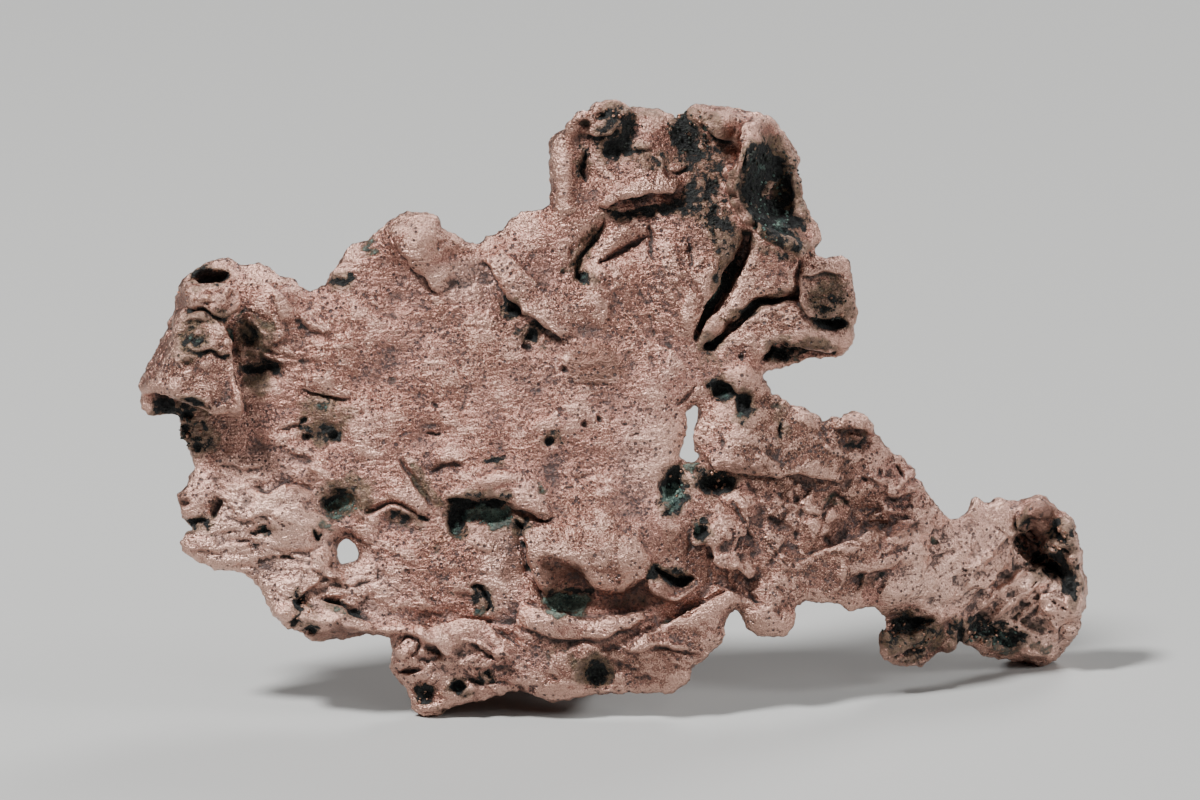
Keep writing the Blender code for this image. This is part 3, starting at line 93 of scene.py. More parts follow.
# A lip stands up on the left of its path, walking along it, over a narrow cut on its right:
# (path, rise, reach of the raised side, cut, overhang).
LIPS = (
    # folded wing at the left
    (((-28.1, 22.8), (-28.8, 24.4), (-29.1, 26.2), (-29.4, 28.2), (-30, 30.4)),
      0.45, 0.5, 0.6, 0.25),
    (((-28.9, 32.5), (-30.2, 32.9), (-31.4, 32.8), (-32.8, 32.6)), 0.35, 0.8, 0.6, 0.15),
    (((-33, 31.5), (-32.2, 31.1), (-31.3, 31.3), (-30.6, 30.7), (-29.9, 30.5), (-29.2, 30.9),
      (-28.6, 31.1), (-28.3, 31.7)), 0.4, 0.7, 0.5, 0.25),
    (((-32.6, 28), (-31.6, 27.8), (-30.8, 28), (-30.2, 27.6), (-29.2, 27.9)), 0.35, 0.6, 0.35, 0.2),
    (((-33.2, 29.8), (-32, 30.2), (-30.8, 29.8)), 0.2, 0.6, 0.3, 0.1),
    (((-34.6, 24.9), (-33.4, 24.4), (-31.8, 24.2), (-30.4, 23.4)), 0.25, 0.7, 0.1, 0.1),
    # left body
    (((-24.3, 25.1), (-22.4, 24.7), (-20, 24.2)), 0.25, 1, 0.35, 0.15),
    (((-23, 17), (-24.2, 17.5), (-25.2, 17.6), (-26.5, 17), (-27.7, 17.4)), 0.3, 1, 0.45, 0.2),
    (((-27.1, 11), (-28.2, 11.3), (-29.4, 11.2)), 0.25, 0.6, 0.2, 0.1),
    (((-18.2, 7.2), (-19.8, 7.7), (-21.3, 8.4), (-22.7, 9)), 0.3, 0.8, 0.5, 0.2),
    (((-13.8, 14.7), (-15.2, 14.9), (-16.6, 16), (-17.8, 15.9), (-19.3, 15.2)),
      0.35, 1.2, 0.6, 0.1),
    (((-14, 15.8), (-14.9, 17), (-15.8, 18.2), (-17, 19.9)), 0.25, 1, 0.5, 0.1),
    (((-30.9, 19.2), (-29.4, 19.4), (-28, 18.9), (-26.4, 19.3)), 0.2, 0.9, 0.25, 0.1),
    (((-29.8, 15.4), (-28.2, 15), (-26.6, 15.5), (-25.2, 15.1)), 0.2, 0.9, 0.25, 0.1),
    (((-26, 21.9), (-24.6, 22.3), (-23.2, 22)), 0.2, 0.8, 0.3, 0.1),
    # crest
    (((-16.8, 35.5), (-15.7, 35), (-15.3, 34.1), (-14.6, 33.5), (-13.9, 32.7), (-13.4, 32)),
      0.35, 1.2, 0.5, 0.25),
    (((-10.2, 35), (-9.3, 33.6), (-8.5, 32.5), (-8, 31.5), (-7.3, 30.7), (-6.2, 30.2), (-5, 29.2),
      (-4, 28.2)), 0.35, 1.4, 0.5, 0.2),
    (((-5.6, 32.4), (-7.2, 33.9), (-9.2, 35.8)), 0.25, 0.8, 0.1, 0.1),
    (((-4.1, 28.6), (-4, 26.8), (-3.9, 25.3)), 0.08, 1.2, 0.1, 0.05),
    (((-3.8, 25.4), (-2, 25.5), (0.3, 25.3)), 0.1, 1.2, 0.08, 0.05),
    (((-3.6, 27.6), (-2.2, 27.8), (-0.9, 27.5)), 0.07, 0.5, 0.08, 0),
    (((-3.4, 26.8), (-2.4, 26.6), (-0.6, 26.9)), 0.07, 0.5, 0.08, 0),
    # crest lobe
    (((-1.5, 38.7), (-0.1, 39.3), (1.3, 39.6), (2.8, 40), (4.2, 40), (4.9, 40.7)),
      0.4, 0.9, 0.7, 0.4),
    (((-3, 36.2), (-3.3, 35.4), (-3.4, 34.4)), 0.2, 0.7, 0.3, 0.1),
    (((-2.6, 44.4), (-1.6, 44.2), (-0.8, 44.3), (0.1, 45.1)), 0.4, 0.6, 0.5, 0.3),
    (((0.6, 43.4), (1.8, 43.2), (3, 43.6)), 0.25, 0.8, 0.3, 0.1),
    (((6.1, 45.3), (7.2, 44.3), (8, 43.9), (8.9, 43.8)), 0.4, 0.8, 0.6, 0.3),
    (((3.4, 41.8), (4.4, 41.5), (5.6, 42.2)), 0.25, 0.7, 0.3, 0.1),
    # fan between the crest lobe and the arm
    (((5.4, 28.4), (5.8, 29.6), (6.7, 31.2), (7.6, 32.8), (8.7, 34.8), (9.5, 37.2)),
      0.25, 1.2, 0.6, 0.05),
    (((6, 27.9), (7.5, 28.9), (8.5, 30), (9.7, 31), (10.5, 31.7), (12, 32), (14, 32.4)),
      0.1, 1, 0.6, 0.05),
    # ear and its tube
    (((10.5, 39.2), (11.2, 40), (12, 41)), 0.3, 0.6, 0.4, 0.2),
    (((13.6, 33.9), (14.6, 33.6), (15.8, 33.9), (17.2, 33.6)), 0.35, 0.7, 0.4, 0.2),
    (((14.2, 34.9), (13.8, 33.4), (13.8, 31.6), (14.6, 30.5), (16, 30.2), (17.2, 30.6)),
      0.45, 1, 0.5, 0.2),
    # centre
    (((-4.2, 22.7), (-4.5, 23.2), (-4.9, 23.8)), 0.15, 0.6, 0.3, 0.1),
    (((-14.6, 18.7), (-13.6, 19.2), (-12.5, 19.4), (-11.2, 19.1)), 0.15, 0.8, 0.35, 0.1),
    (((-13.3, 17.2), (-12.6, 17.8), (-11.6, 18), (-10.6, 18.6), (-9.3, 19.1), (-8.2, 18.9),
      (-6.2, 18.2)), 0, 0.9, 0.22, 0),
    (((-13.2, 16.4), (-12, 16.9), (-10.6, 16.9), (-9.2, 16.9), (-8, 16.3)), 0.3, 0.9, 0.8, 0.45),
    (((-8.5, 16.1), (-7, 15.9), (-5.4, 15.2), (-4.7, 15.5)), 0.3, 0.8, 0.6, 0.3),
    (((-7.4, 15), (-7.2, 14), (-7, 13), (-6.4, 10.9), (-5.6, 9.4)), 0.3, 1.6, 0.35, 0.15),
    (((-6.8, 12), (-5, 12.3), (-3.9, 11.9), (-3, 11.5), (-2.4, 10.7), (-1.6, 10), (0.2, 9.8),
      (1.2, 10.3), (2.4, 11)), 0.12, 1.2, 0.1, 0.05),
    (((2.6, 11.5), (2.3, 12.2), (1.6, 13.2), (1.4, 14.6)), 0.15, 1.4, 0.1, 0),
    (((5.7, 14.6), (5.8, 13.2), (6.9, 13.2), (7.5, 11.8), (8.5, 11.3), (9.1, 11.3), (9.9, 10.7),
      (10.8, 11.1)), 0.35, 1.1, 0.5, 0.25),
    (((3.2, 15.1), (4, 16), (5, 17.3)), 0.25, 0.7, 0.2, 0.1),
    (((10.9, 11.2), (11.7, 12.4), (12.9, 13.8)), 0.15, 0.8, 0.2, 0.1),
    # lower lobe
    (((-7.2, 5.2), (-8.3, 5.8), (-9.3, 6.4), (-10.2, 7.1), (-12, 7.05), (-13.6, 6.7), (-15.7, 6.9)),
      0.3, 1, 0.5, 0.25),
    (((-13, 4.5), (-14.2, 4.9), (-15.2, 5.4)), 0.3, 0.6, 0.5, 0.2),
    (((2.6, 8.1), (0.6, 7.7), (-1.9, 7.55), (-3.9, 7.8), (-5.7, 7.95), (-7.2, 8.6)),
      0.3, 1.2, 0.35, 0.1),
    (((9.15, 9.75), (7.4, 8.9), (5.6, 8.05), (4, 7.2), (2.5, 6.5), (0.8, 5.5)),
      0.4, 1.3, 0.6, 0.25),
    (((-7.4, 7.4), (-6, 6.6), (-4.3, 6.05), (-2.1, 5.95), (0.1, 6.7), (1.6, 7.2), (2.7, 7.8)),
      0.4, 1, 0.15, 0.05),
    (((-14.4, 3.8), (-15.5, 3.4), (-16.9, 3.3)), 0.4, 0.6, 0.6, 0.2),
    (((-7.6, 2.2), (-9.2, 2.6), (-10.6, 2.2), (-11.8, 3.2)), 0.2, 0.7, 0.3, 0.1),
    (((6.2, 4.6), (4.8, 5), (2.8, 5), (1, 4.7)), 0.15, 0.6, 0.3, 0.1),
    # beside the slot
    (((6.3, 19.9), (7.5, 18.9), (9.5, 18.7), (11.5, 18.5), (14.5, 18.4), (17.4, 17.7)),
      0.25, 0.9, 0.4, 0.25),
    (((10.5, 26.9), (11.3, 27.9), (12.2, 28.6), (13, 28.3), (14.8, 27.9), (16.8, 27.9)),
      0.3, 0.8, 0.6, 0.2),
    (((7.3, 25.6), (8.3, 25.4), (8.9, 24.7), (9.4, 23.9)), 0.25, 0.7, 0.4, 0.2),
    (((11.8, 23.9), (12.4, 24.4), (13, 24.2)), 0.3, 0.5, 0.3, 0.1),
    (((12.3, 22.6), (12.4, 21.8), (12.5, 21)), 0.2, 0.6, 0.35, 0.1),
    # arm
    (((16.2, 21.9), (17.2, 22.2), (18.4, 22.1), (19.1, 21.5)), 0.3, 0.6, 0.6, 0.3),
    (((23.4, 14.3), (21.4, 14), (20.6, 13.7), (19.7, 14.5), (18.5, 13.8), (17.2, 13.4),
      (15.4, 12.6), (13.1, 11.6)), 0.22, 1.3, 0.25, 0.1),
    (((16.9, 9.7), (18.3, 10.8), (20.2, 11.2), (21.6, 12.3)), 0.15, 1, 0.15, 0.05),
    (((27, 8.9), (27.8, 9.8), (29, 10.7), (29.9, 11.8)), 0.3, 0.9, 0.35, 0.15),
    (((27.4, 12.3), (28.1, 12.2), (28.7, 11.7)), 0.2, 0.6, 0.35, 0.1),
    (((30.5, 15.4), (30.8, 14.4), (31.7, 13.6), (32.8, 13.1), (33.6, 12.2)), 0.4, 0.9, 0.5, 0.3),
    (((30.3, 9.3), (31.2, 9.9), (32.3, 10.7)), 0.3, 0.7, 0.4, 0.15),
    (((28.6, 14.9), (29.6, 13.6), (29.9, 12.4)), 0.2, 0.8, 0.2, 0.1),
    (((31.9, 10.1), (32.2, 9), (31.9, 7.2)), 0.25, 0.7, 0.4, 0.15),
    (((20.2, 4.4), (21.4, 5), (22.6, 5.7), (24.3, 7.1)), 0.35, 0.5, 0.4, 0.2),
    (((26.4, 6), (27.6, 6.5), (28.8, 6.2), (30.4, 5.4)), 0.3, 0.5, 0.4, 0.2),
    (((13.6, 15.9), (15.2, 15.4), (16.5, 16.9)), 0.2, 0.8, 0.3, 0.1),
    (((8.6, 17), (9.6, 15.2), (10.6, 13.4)), 0.3, 1, 0.3, 0.1),
    (((14.9, 17.7), (14.2, 16.6), (12.9, 16.2), (11.6, 17.2)), 0.3, 0.8, 0.3, 0.1),
    (((17.6, 18), (19, 18.3), (20.3, 17.4)), 0.25, 0.8, 0.3, 0.1),
    (((20, 17.2), (21.6, 16.8), (23.2, 17.6)), 0.2, 0.9, 0.25, 0.1),
    (((23.6, 12), (25, 12.6), (26.4, 12.9)), 0.2, 0.8, 0.3, 0.1),
)

# A crease is cut along its path: (path, depth, half width). A negative depth is a fine ridge.
CREASES = (
    (((-33.6, 31.2), (-34.1, 28.6), (-34.9, 26.2)), 0.3, 0.45),
    (((-31.4, 27.4), (-31.9, 26), (-32.6, 24.5)), 0.1, 0.5),
    (((-29.3, 25.7), (-29.1, 24.6), (-28.7, 23.4), (-28.3, 22.6)), -0.6, 0.6),
    (((-28.7, 30.8), (-27.4, 29.8), (-26, 28.5)), -0.4, 0.45),
    (((-28.5, 28.1), (-26.8, 27.6), (-25, 26.8)), -0.4, 0.45),
    (((-30.6, 16.9), (-30.4, 16.2), (-30.7, 15)), 0.5, 0.35),
    (((-33, 13.6), (-30.4, 14), (-27.4, 14.6)), 0.16, 0.28),
    (((-33, 13.1), (-30.2, 13.2), (-27.2, 13.6)), 0.16, 0.28),
    (((-32.4, 12.6), (-30, 12.4), (-27, 12.6)), 0.16, 0.28),
    (((-25.9, 12.2), (-25.2, 12.25), (-24.4, 12.1)), 0.3, 0.25),
    (((-21.5, 13.6), (-21.5, 12.2), (-21.2, 11), (-20.6, 10)), -0.3, 0.4),
    (((-22.3, 9), (-21.2, 8.5), (-19.8, 7.8)), 0.4, 0.3),
    (((-24.6, 7.6), (-22, 7.4), (-20, 6.9), (-18, 6.7), (-15.9, 6.6), (-14.2, 5.9), (-13, 5.1),
      (-12, 4.9)), -0.3, 0.5),
    (((-12.9, 31.3), (-12.6, 30.8)), 0.35, 0.3),
    (((-16.7, 5.4), (-16.1, 6.2), (-15.3, 5.9), (-15.1, 5.1), (-15.8, 4.6)), 0.45, 0.3),
    (((-11.6, 5.9), (-10.2, 5), (-9, 4.2)), 0.3, 0.35),
    (((-2.5, 43.2), (-2.6, 41.8), (-2.4, 40.3)), 0.5, 0.4),
    (((-1.2, 38.1), (-1, 37.4), (-2, 36), (-2.6, 35), (-3, 33.7), (-2.3, 32.7)), 0.4, 0.32),
    (((-1.8, 34.3), (0, 35.1), (1.5, 36), (2.5, 36.6)), 0.45, 0.35),
    (((2.5, 37.6), (2.5, 36), (2.7, 34.4)), 0.35, 0.35),
    (((5.4, 36.2), (5.5, 35), (5.4, 33.8)), 0.35, 0.35),
    (((6, 29.2), (6.8, 30.9), (7.9, 32.5), (9, 34.5), (9.9, 36.4), (10.6, 38)), 0.9, 0.95),
    (((6.6, 28), (8.3, 29.2), (9.9, 30.7), (11.2, 31.6), (13.8, 31.9)), 0.8, 0.6),
    (((9.9, 43.2), (9.6, 41.6), (9.5, 40.2), (9.7, 38.9), (10.7, 37.8), (12.2, 36.9), (13.7, 36.1)),
      0.5, 0.5),
    (((8.6, 32.2), (8, 31), (7.4, 29.8)), 0.2, 0.7),
    (((8.9, 36.2), (8, 34), (6.9, 32.2), (6.1, 30.6)), -0.3, 0.35),
    (((13.2, 31.4), (11.6, 30.9), (10.2, 30.1), (9.2, 29.2)), -0.2, 0.4),
    (((4.2, 33.4), (4.6, 31.2), (4.6, 29)), 0.15, 0.4),
    (((1.4, 33), (2.4, 30.6), (2.9, 28.6)), 0.15, 0.4),
    (((-14.8, 21.7), (-14, 21.6), (-13.2, 21.7)), 0.4, 0.25),
    (((-5.9, 17.9), (-5.7, 17.4), (-5.5, 16.9)), 0.4, 0.25),
    (((-7.9, 15.2), (-7.4, 14.4), (-7.2, 13), (-6.6, 11), (-5.9, 9.6), (-5.6, 8.8)), 0.7, 0.5),
    (((-11.3, 9.9), (-10.6, 10), (-10, 9.5), (-9.7, 8.7), (-10.2, 7.9)), 0.6, 0.35),
    (((2.6, 11.6), (3.6, 10.9), (4.6, 10.4), (5.8, 10.7)), 0.7, 0.5),
    (((2.4, 10.7), (2.7, 9.8), (3.6, 9.3), (4.6, 9), (5.2, 9.6), (6.2, 10.2)), -0.35, 0.35),
    (((2.7, 11.7), (3.8, 11.2), (4.9, 10.5)), -0.3, 0.3),
    (((11.1, 13.6), (12, 12.4), (12.9, 11.1)), 0.25, 0.22),
    (((0.5, 5.2), (2.8, 5.5), (5, 5.5), (6.4, 4.8)), -0.5, 0.4),
    (((-12, 6), (-10.5, 5.6), (-9, 4.9), (-8, 4.6)), -0.3, 0.4),
    (((4.3, 23.5), (5.2, 24.4), (6.2, 25.3)), 0.3, 0.3),
    (((19.7, 19.2), (19.9, 18.7), (20.1, 18.2)), 0.4, 0.25),
    (((21.1, 19.5), (21.5, 18.7), (21.7, 17.8)), 0.45, 0.25),
    (((20, 16.4), (20.8, 16.4)), 0.3, 0.22),
    (((15.2, 15.3), (15.7, 16.1), (16.4, 16.8), (17.2, 16.5), (17.9, 15.9)), 0.45, 0.3),
    (((25.9, 13.2), (26.6, 12.8)), 0.35, 0.22),
    (((30.1, 12.9), (30, 11.8)), 0.4, 0.25),
    (((26.8, 7.4), (29, 9.4), (31.6, 11.4)), -0.55, 0.6),
    (((28, 7), (30.2, 8.8), (32.4, 10.4)), -0.5, 0.5),
    (((30.4, 6.9), (31.6, 8.2), (33.4, 9.4)), -0.5, 0.45),
    (((26.4, 10.4), (27.6, 11.6), (28.6, 13)), -0.4, 0.5),
    (((33, 7.4), (33.6, 6.4), (33.4, 5.4)), -0.4, 0.35),
    (((26, 10.6), (27.4, 11.8), (29, 12.6)), -0.2, 0.5),
    (((20.2, 4.7), (21.6, 4.4), (23.8, 5)), -0.4, 0.35),
    (((12.4, 41), (11.4, 40.2), (10.6, 39.3)), -0.8, 0.45),
    (((31, 15.2), (32.2, 14.9), (33.2, 15.2)), 0.35, 0.3),
    (((31.6, 13.9), (32.6, 14), (33.3, 14.6)), 0.3, 0.25),
    (((33.2, 14.6), (33.9, 13.8), (34.7, 13.2)), 0.5, 0.3),
    (((32.9, 13.4), (34, 12.9), (34.9, 12.2)), 0.45, 0.3),
    (((33.8, 11.2), (34.4, 9.9), (35.2, 9)), 0.4, 0.3),
    (((32.8, 8.9), (33.8, 8.4), (34.9, 8)), 0.4, 0.25),
    (((-12.2, 27.2), (-11.6, 25), (-11.8, 22.8)), 0.12, 0.5),
    (((-19.5, 32.4), (-18, 30.8), (-16.2, 30)), 0.15, 0.5),
    (((-24.6, 30.4), (-22.6, 29), (-20.4, 28.2)), 0.15, 0.5),
    (((13.6, 24.4), (15.2, 22.8), (16, 20.8)), 0.2, 0.4),
    (((22.4, 20.6), (22.8, 18.8), (24.2, 17.2)), 0.2, 0.4),
    (((8.8, 16.9), (9.4, 14.8), (9, 12.8)), 0.2, 0.4),
    (((13.2, 17.6), (13.8, 15.8), (13.4, 13.8)), 0.2, 0.4),
)

# A pit is a steep hollow: an oval with its depth.
PITS = (
    (-31, 33.4, 1.5, 0.6, 2.6, 8), (-32, 29, 1, 0.8, 0.6), (-28, 29, 0.8, 0.7, 0.3),
    (-27.4, 26.5, 1.2, 0.3, 0.5, 4), (-23.8, 22.5, 0.35, 0.3, 0.5), (-23.5, 21.2, 0.4, 0.3, 0.5),
    (-21.5, 21.3, 0.4, 0.3, 0.5), (-32.5, 23, 0.4, 0.3, 0.6), (-31.9, 20.4, 0.4, 0.4, 0.6),
    (-32.9, 16.2, 0.35, 0.3, 0.5), (-32, 14.9, 0.7, 0.2, 0.6), (-32.6, 14, 0.4, 0.3, 0.4),
    (-21, 16.5, 1.2, 0.6, 0.3, 10), (-26.7, 14.2, 0.5, 0.25, 0.2, 30),
    (-22.8, 13.9, 0.55, 0.2, 0.5, -50), (-24.2, 9, 0.3, 0.6, 0.4, 10), (-23.6, 6.6, 0.5, 0.25, 0.4),
    (-21, 33, 0.4, 0.3, 0.4), (-17.1, 25.6, 0.5, 0.3, 0.3, 30), (-7.8, 31.1, 0.55, 0.4, 0.6),
    (-6.5, 29.1, 0.45, 0.4, 0.6), (-6.8, 28.3, 0.35, 0.3, 0.5), (-4, 26.4, 0.3, 0.3, 0.5),
    (-2.7, 33.4, 0.5, 0.4, 0.6), (-4.1, 33.8, 0.3, 0.25, 0.3), (-2.6, 45, 0.45, 0.4, 0.7),
    (-1.4, 45.6, 0.5, 0.25, 0.5, 20), (1, 44.6, 0.7, 0.9, 0.4), (-0.5, 43, 0.7, 0.8, 0.4),
    (5.2, 44.2, 1.1, 1.3, 0.5), (5.8, 42.6, 0.8, 0.6, 0.4), (7.2, 40.2, 0.6, 0.9, 0.4),
    (7.3, 38, 0.5, 0.8, 0.4), (11.4, 38.2, 1, 1.2, 0.5), (12.6, 40, 0.7, 1.1, 0.4),
    (12.4, 37, 0.8, 0.6, 0.4, 20), (16.2, 29.9, 1.2, 0.5, 0.9), (15.2, 31, 0.6, 0.4, 0.3, 20),
    (7, 28.2, 0.5, 0.4, 0.5), (9.4, 27.4, 0.25, 0.25, 0.4), (12.2, 27.6, 0.6, 0.5, 0.6),
    (-13.8, 23.7, 0.3, 0.25, 0.4), (-5.1, 21, 0.35, 0.35, 0.5), (-2.5, 22.3, 0.3, 0.3, 0.4),
    (-1.4, 22.7, 0.25, 0.25, 0.4), (0.5, 22.3, 0.3, 0.15, 0.3), (1.3, 21.5, 0.4, 0.15, 0.3, 20),
    (-9.2, 19.5, 0.8, 0.25, 0.3, 20), (-3.7, 17.5, 0.35, 0.15, 0.3),
    (-2.6, 18.3, 0.8, 0.15, 0.25, 14), (-10.6, 16.4, 1.9, 0.5, 0.8), (-9.2, 15.2, 1.1, 0.7, 0.4),
    (-12.1, 15, 0.6, 1.1, 0.7), (-16, 15.3, 1.4, 0.5, 0.3, -12), (-7.2, 14.6, 0.3, 0.3, 0.6),
    (-4, 8.9, 1.5, 0.7, 0.5), (-14.4, 1.7, 0.5, 0.3, 0.1), (-13.1, 0.5, 0.3, 0.25, 0.4),
    (-12.1, 2.5, 0.5, 0.45, 0.7), (-9.8, 3.3, 0.3, 0.3, 0.5), (-7.4, 2.4, 0.25, 0.3, 0.4),
    (-6.6, 2.2, 0.25, 0.3, 0.4), (-1.7, 3.4, 0.5, 0.8, 0.4), (6.3, 14.1, 0.5, 0.45, 0.8),
    (13.2, 11.6, 0.2, 0.2, 0.3), (4.2, 17.3, 0.6, 0.9, 0.7, -10), (7.4, 17.8, 1.2, 0.5, 0.6),
    (7.9, 20.8, 0.3, 0.3, 0.4), (12.4, 21.8, 0.2, 0.6, 0.4), (7.8, 24.9, 0.6, 0.5, 0.7),
    (9.5, 23.8, 0.55, 0.9, 0.6), (12, 23.7, 0.4, 0.3, 0.3), (17.9, 20.9, 0.5, 0.2, 0.2, 10),
    (18.7, 18.2, 0.25, 0.2, 0.4), (21.2, 16.5, 0.25, 0.2, 0.4), (16, 13.5, 0.4, 0.3, 0.5),
    (34.9, 13.9, 0.3, 0.3, 0.5), (35.4, 11.3, 0.3, 0.25, 0.5), (-24.5, 7.3, 0.25, 0.5, 0.5, -30),
    (-23.2, 6.7, 0.5, 0.3, 0.6, -20), (19, 10.3, 0.9, 0.25, 0.15, 20),
    (24.2, 13.3, 0.35, 0.25, 0.4), (27.6, 11.7, 0.3, 0.25, 0.4), (32.7, 11.8, 1.3, 0.6, 0.6, -40),
    (34.8, 10, 0.3, 1.1, 0.6), (29, 6.1, 1.9, 0.7, 0.5, -25), (27.2, 6.6, 0.5, 0.6, 0.5),
    (22, 7, 1.6, 0.5, 0.7, 12), (22.4, 4.8, 0.8, 0.4, 0.6, 10), (26.2, 6.2, 0.3, 0.9, 0.5),
    (22.8, 8.1, 0.25, 0.2, 0.3), (20.9, 6.6, 0.5, 0.5, 0.5),
)

# A knob swells over an oval: its strength is its rise.
KNOBS = (
    (-31.9, 31.9, 0.9, 0.6, 0.35), (-30.2, 31.7, 0.8, 0.6, 0.3), (-33, 21.4, 0.5, 0.5, 0.4),
    (-32.2, 28.3, 0.5, 0.35, 0.3), (-29.6, 28.4, 0.5, 0.4, 0.3), (-33.6, 25, 0.7, 0.5, 0.2),
    (9, 44, 0.5, 0.6, 0.5), (8.7, 42.6, 0.5, 0.55, 0.4), (8.4, 41.3, 0.5, 0.5, 0.5),
    (8.4, 40.1, 0.5, 0.45, 0.5), (8.7, 38.9, 0.5, 0.45, 0.45), (9.5, 37.7, 0.5, 0.4, 0.5),
    (10.5, 36.9, 0.5, 0.35, 0.45), (11.6, 36.3, 0.5, 0.35, 0.5), (12.7, 35.8, 0.5, 0.35, 0.45),
    (13.7, 35.2, 0.5, 0.4, 0.5), (32.2, 15.4, 1, 0.8, 0.3), (34.2, 14.4, 0.6, 0.5, 0.3),
    (34.9, 12, 0.5, 0.7, 0.3), (30.6, 9.9, 1, 0.7, 0.3, 40), (29.4, 9, 0.9, 0.6, 0.25, 30),
    (35.2, 10.2, 0.4, 0.8, 0.3), (-33, 16.8, 0.7, 0.5, 0.3), (-25, 7.9, 0.7, 0.6, 0.4),
    (-19.5, 15.5, 0.5, 0.5, 0.3), (-16.3, 4.9, 0.6, 0.5, 0.4), (-16.4, 3.9, 0.6, 0.5, 0.35),
    (-11.3, 2.2, 0.6, 0.3, 0.35, 30), (-3, 45.4, 0.6, 0.5, 0.35), (-1.6, 46.2, 0.8, 0.4, 0.3),
    (0.6, 45.9, 0.7, 0.4, 0.3), (7.9, 45.5, 1, 0.6, 0.35, -20), (20.4, 6.2, 0.5, 0.5, 0.4),
    (22.9, 6, 0.4, 0.4, 0.35), (25.5, 5.3, 0.7, 0.7, 0.4), (28.7, 5.9, 0.35, 0.3, 0.35),
    (27.5, 6.2, 0.3, 0.3, 0.3), (33.7, 12.9, 0.5, 0.4, 0.5), (34.8, 8.2, 0.7, 0.7, 0.3),
    (33.3, 6.8, 0.8, 0.6, 0.3), (19.4, 15.1, 1.4, 0.6, 0.35), (21.8, 14.8, 1.2, 0.5, 0.25),
    (18, 21.2, 1, 0.6, 0.3), (-25.7, 8, 0.5, 0.4, 0.3), (-23.7, 7.6, 0.5, 0.4, 0.3),
    (-14.3, 0.8, 1, 0.45, 0.35), (32, 15.4, 1.2, 0.9, 0.25, -20), (32.8, 14.2, 0.8, 0.7, 0.25, 20),
    (33.2, 13.2, 0.7, 0.6, 0.5), (31.6, 13.4, 0.8, 1, 0.4, -40), (-32.3, 32.2, 0.4, 0.35, 0.45),
    (-31, 31.9, 0.45, 0.35, 0.45), (-29.5, 32.2, 0.45, 0.4, 0.5), (-30.3, 31.2, 0.4, 0.3, 0.4),
    (-31.6, 29.2, 0.4, 0.4, 0.3), (-32.6, 27.2, 0.4, 0.35, 0.25),
    (-28.8, 24.3, 0.45, 1.1, 0.45, 16), (33.9, 8.6, 0.5, 0.4, 0.3), (34.8, 9, 0.3, 0.4, 0.3),
    (32.9, 8, 0.5, 0.3, 0.3, 30), (35.3, 12.8, 0.5, 0.5, 0.35), (34.9, 15, 0.5, 0.5, 0.3),
    (34.6, 6.4, 0.6, 0.5, 0.35), (13.3, 42.2, 0.6, 0.6, 0.3), (13.5, 40.4, 0.5, 0.7, 0.3),
    (13.9, 38.4, 0.5, 0.6, 0.3), (32, 4.6, 1.2, 0.4, 0.3), (5.6, 18.9, 0.35, 0.3, 0.4),
    (9.9, 26, 1.3, 0.9, 0.25, -20), (-9.3, 18.2, 2.6, 0.6, 0.3, 6), (1.8, 43, 0.9, 1.2, 0.25),
    (10.6, 44.2, 0.8, 1, 0.2), (-13.4, 38, 1, 0.6, 0.2, -20), (-16.6, 37, 0.8, 0.7, 0.2),
    (16, 34.6, 1.6, 0.5, 0.2),
)

# Flat tilted plates: the turn of their long side, and the ovals that carry them.
PLATES = (
    (-56, (
        (10.6, 14, 4.6, 6, 1), (-24, 28.6, 5, 4, 0.5), (4, 31, 5, 5, 0.5), (1, 41, 4, 4, 0.4),
    )),
    (38, (
        (20.4, 14.6, 6, 6.4, 1), (30.2, 10.4, 5.6, 6, 1), (14.6, 21.6, 5, 3.6, 0.6),
        (11, 31, 4, 4.4, 0.5),
    )),
    (-14, (
        (-25, 13, 8.6, 7, 0.8), (-12, 6, 6, 4.6, 0.8), (1, 4.6, 7, 3, 0.6), (-10.6, 33, 6, 4, 0.4),
    )),
)

# Holes that go through, pushed a little wider: (u, v, half width, half height, share added).
HOLES = ((-20.6, 12.45, 0.62, 1.1, 0.25),)
# Leaning blocks (u, v, w, width, depth, height): one frees the slot, one floors the curled foot.
SLOT_CUT = (5.5, 21.6, 1.0, 0.62, 6.0, 3.4)
CURL_FLOOR = (-14.35, 1.8, 0.05, 1.0, 0.5, 0.9)

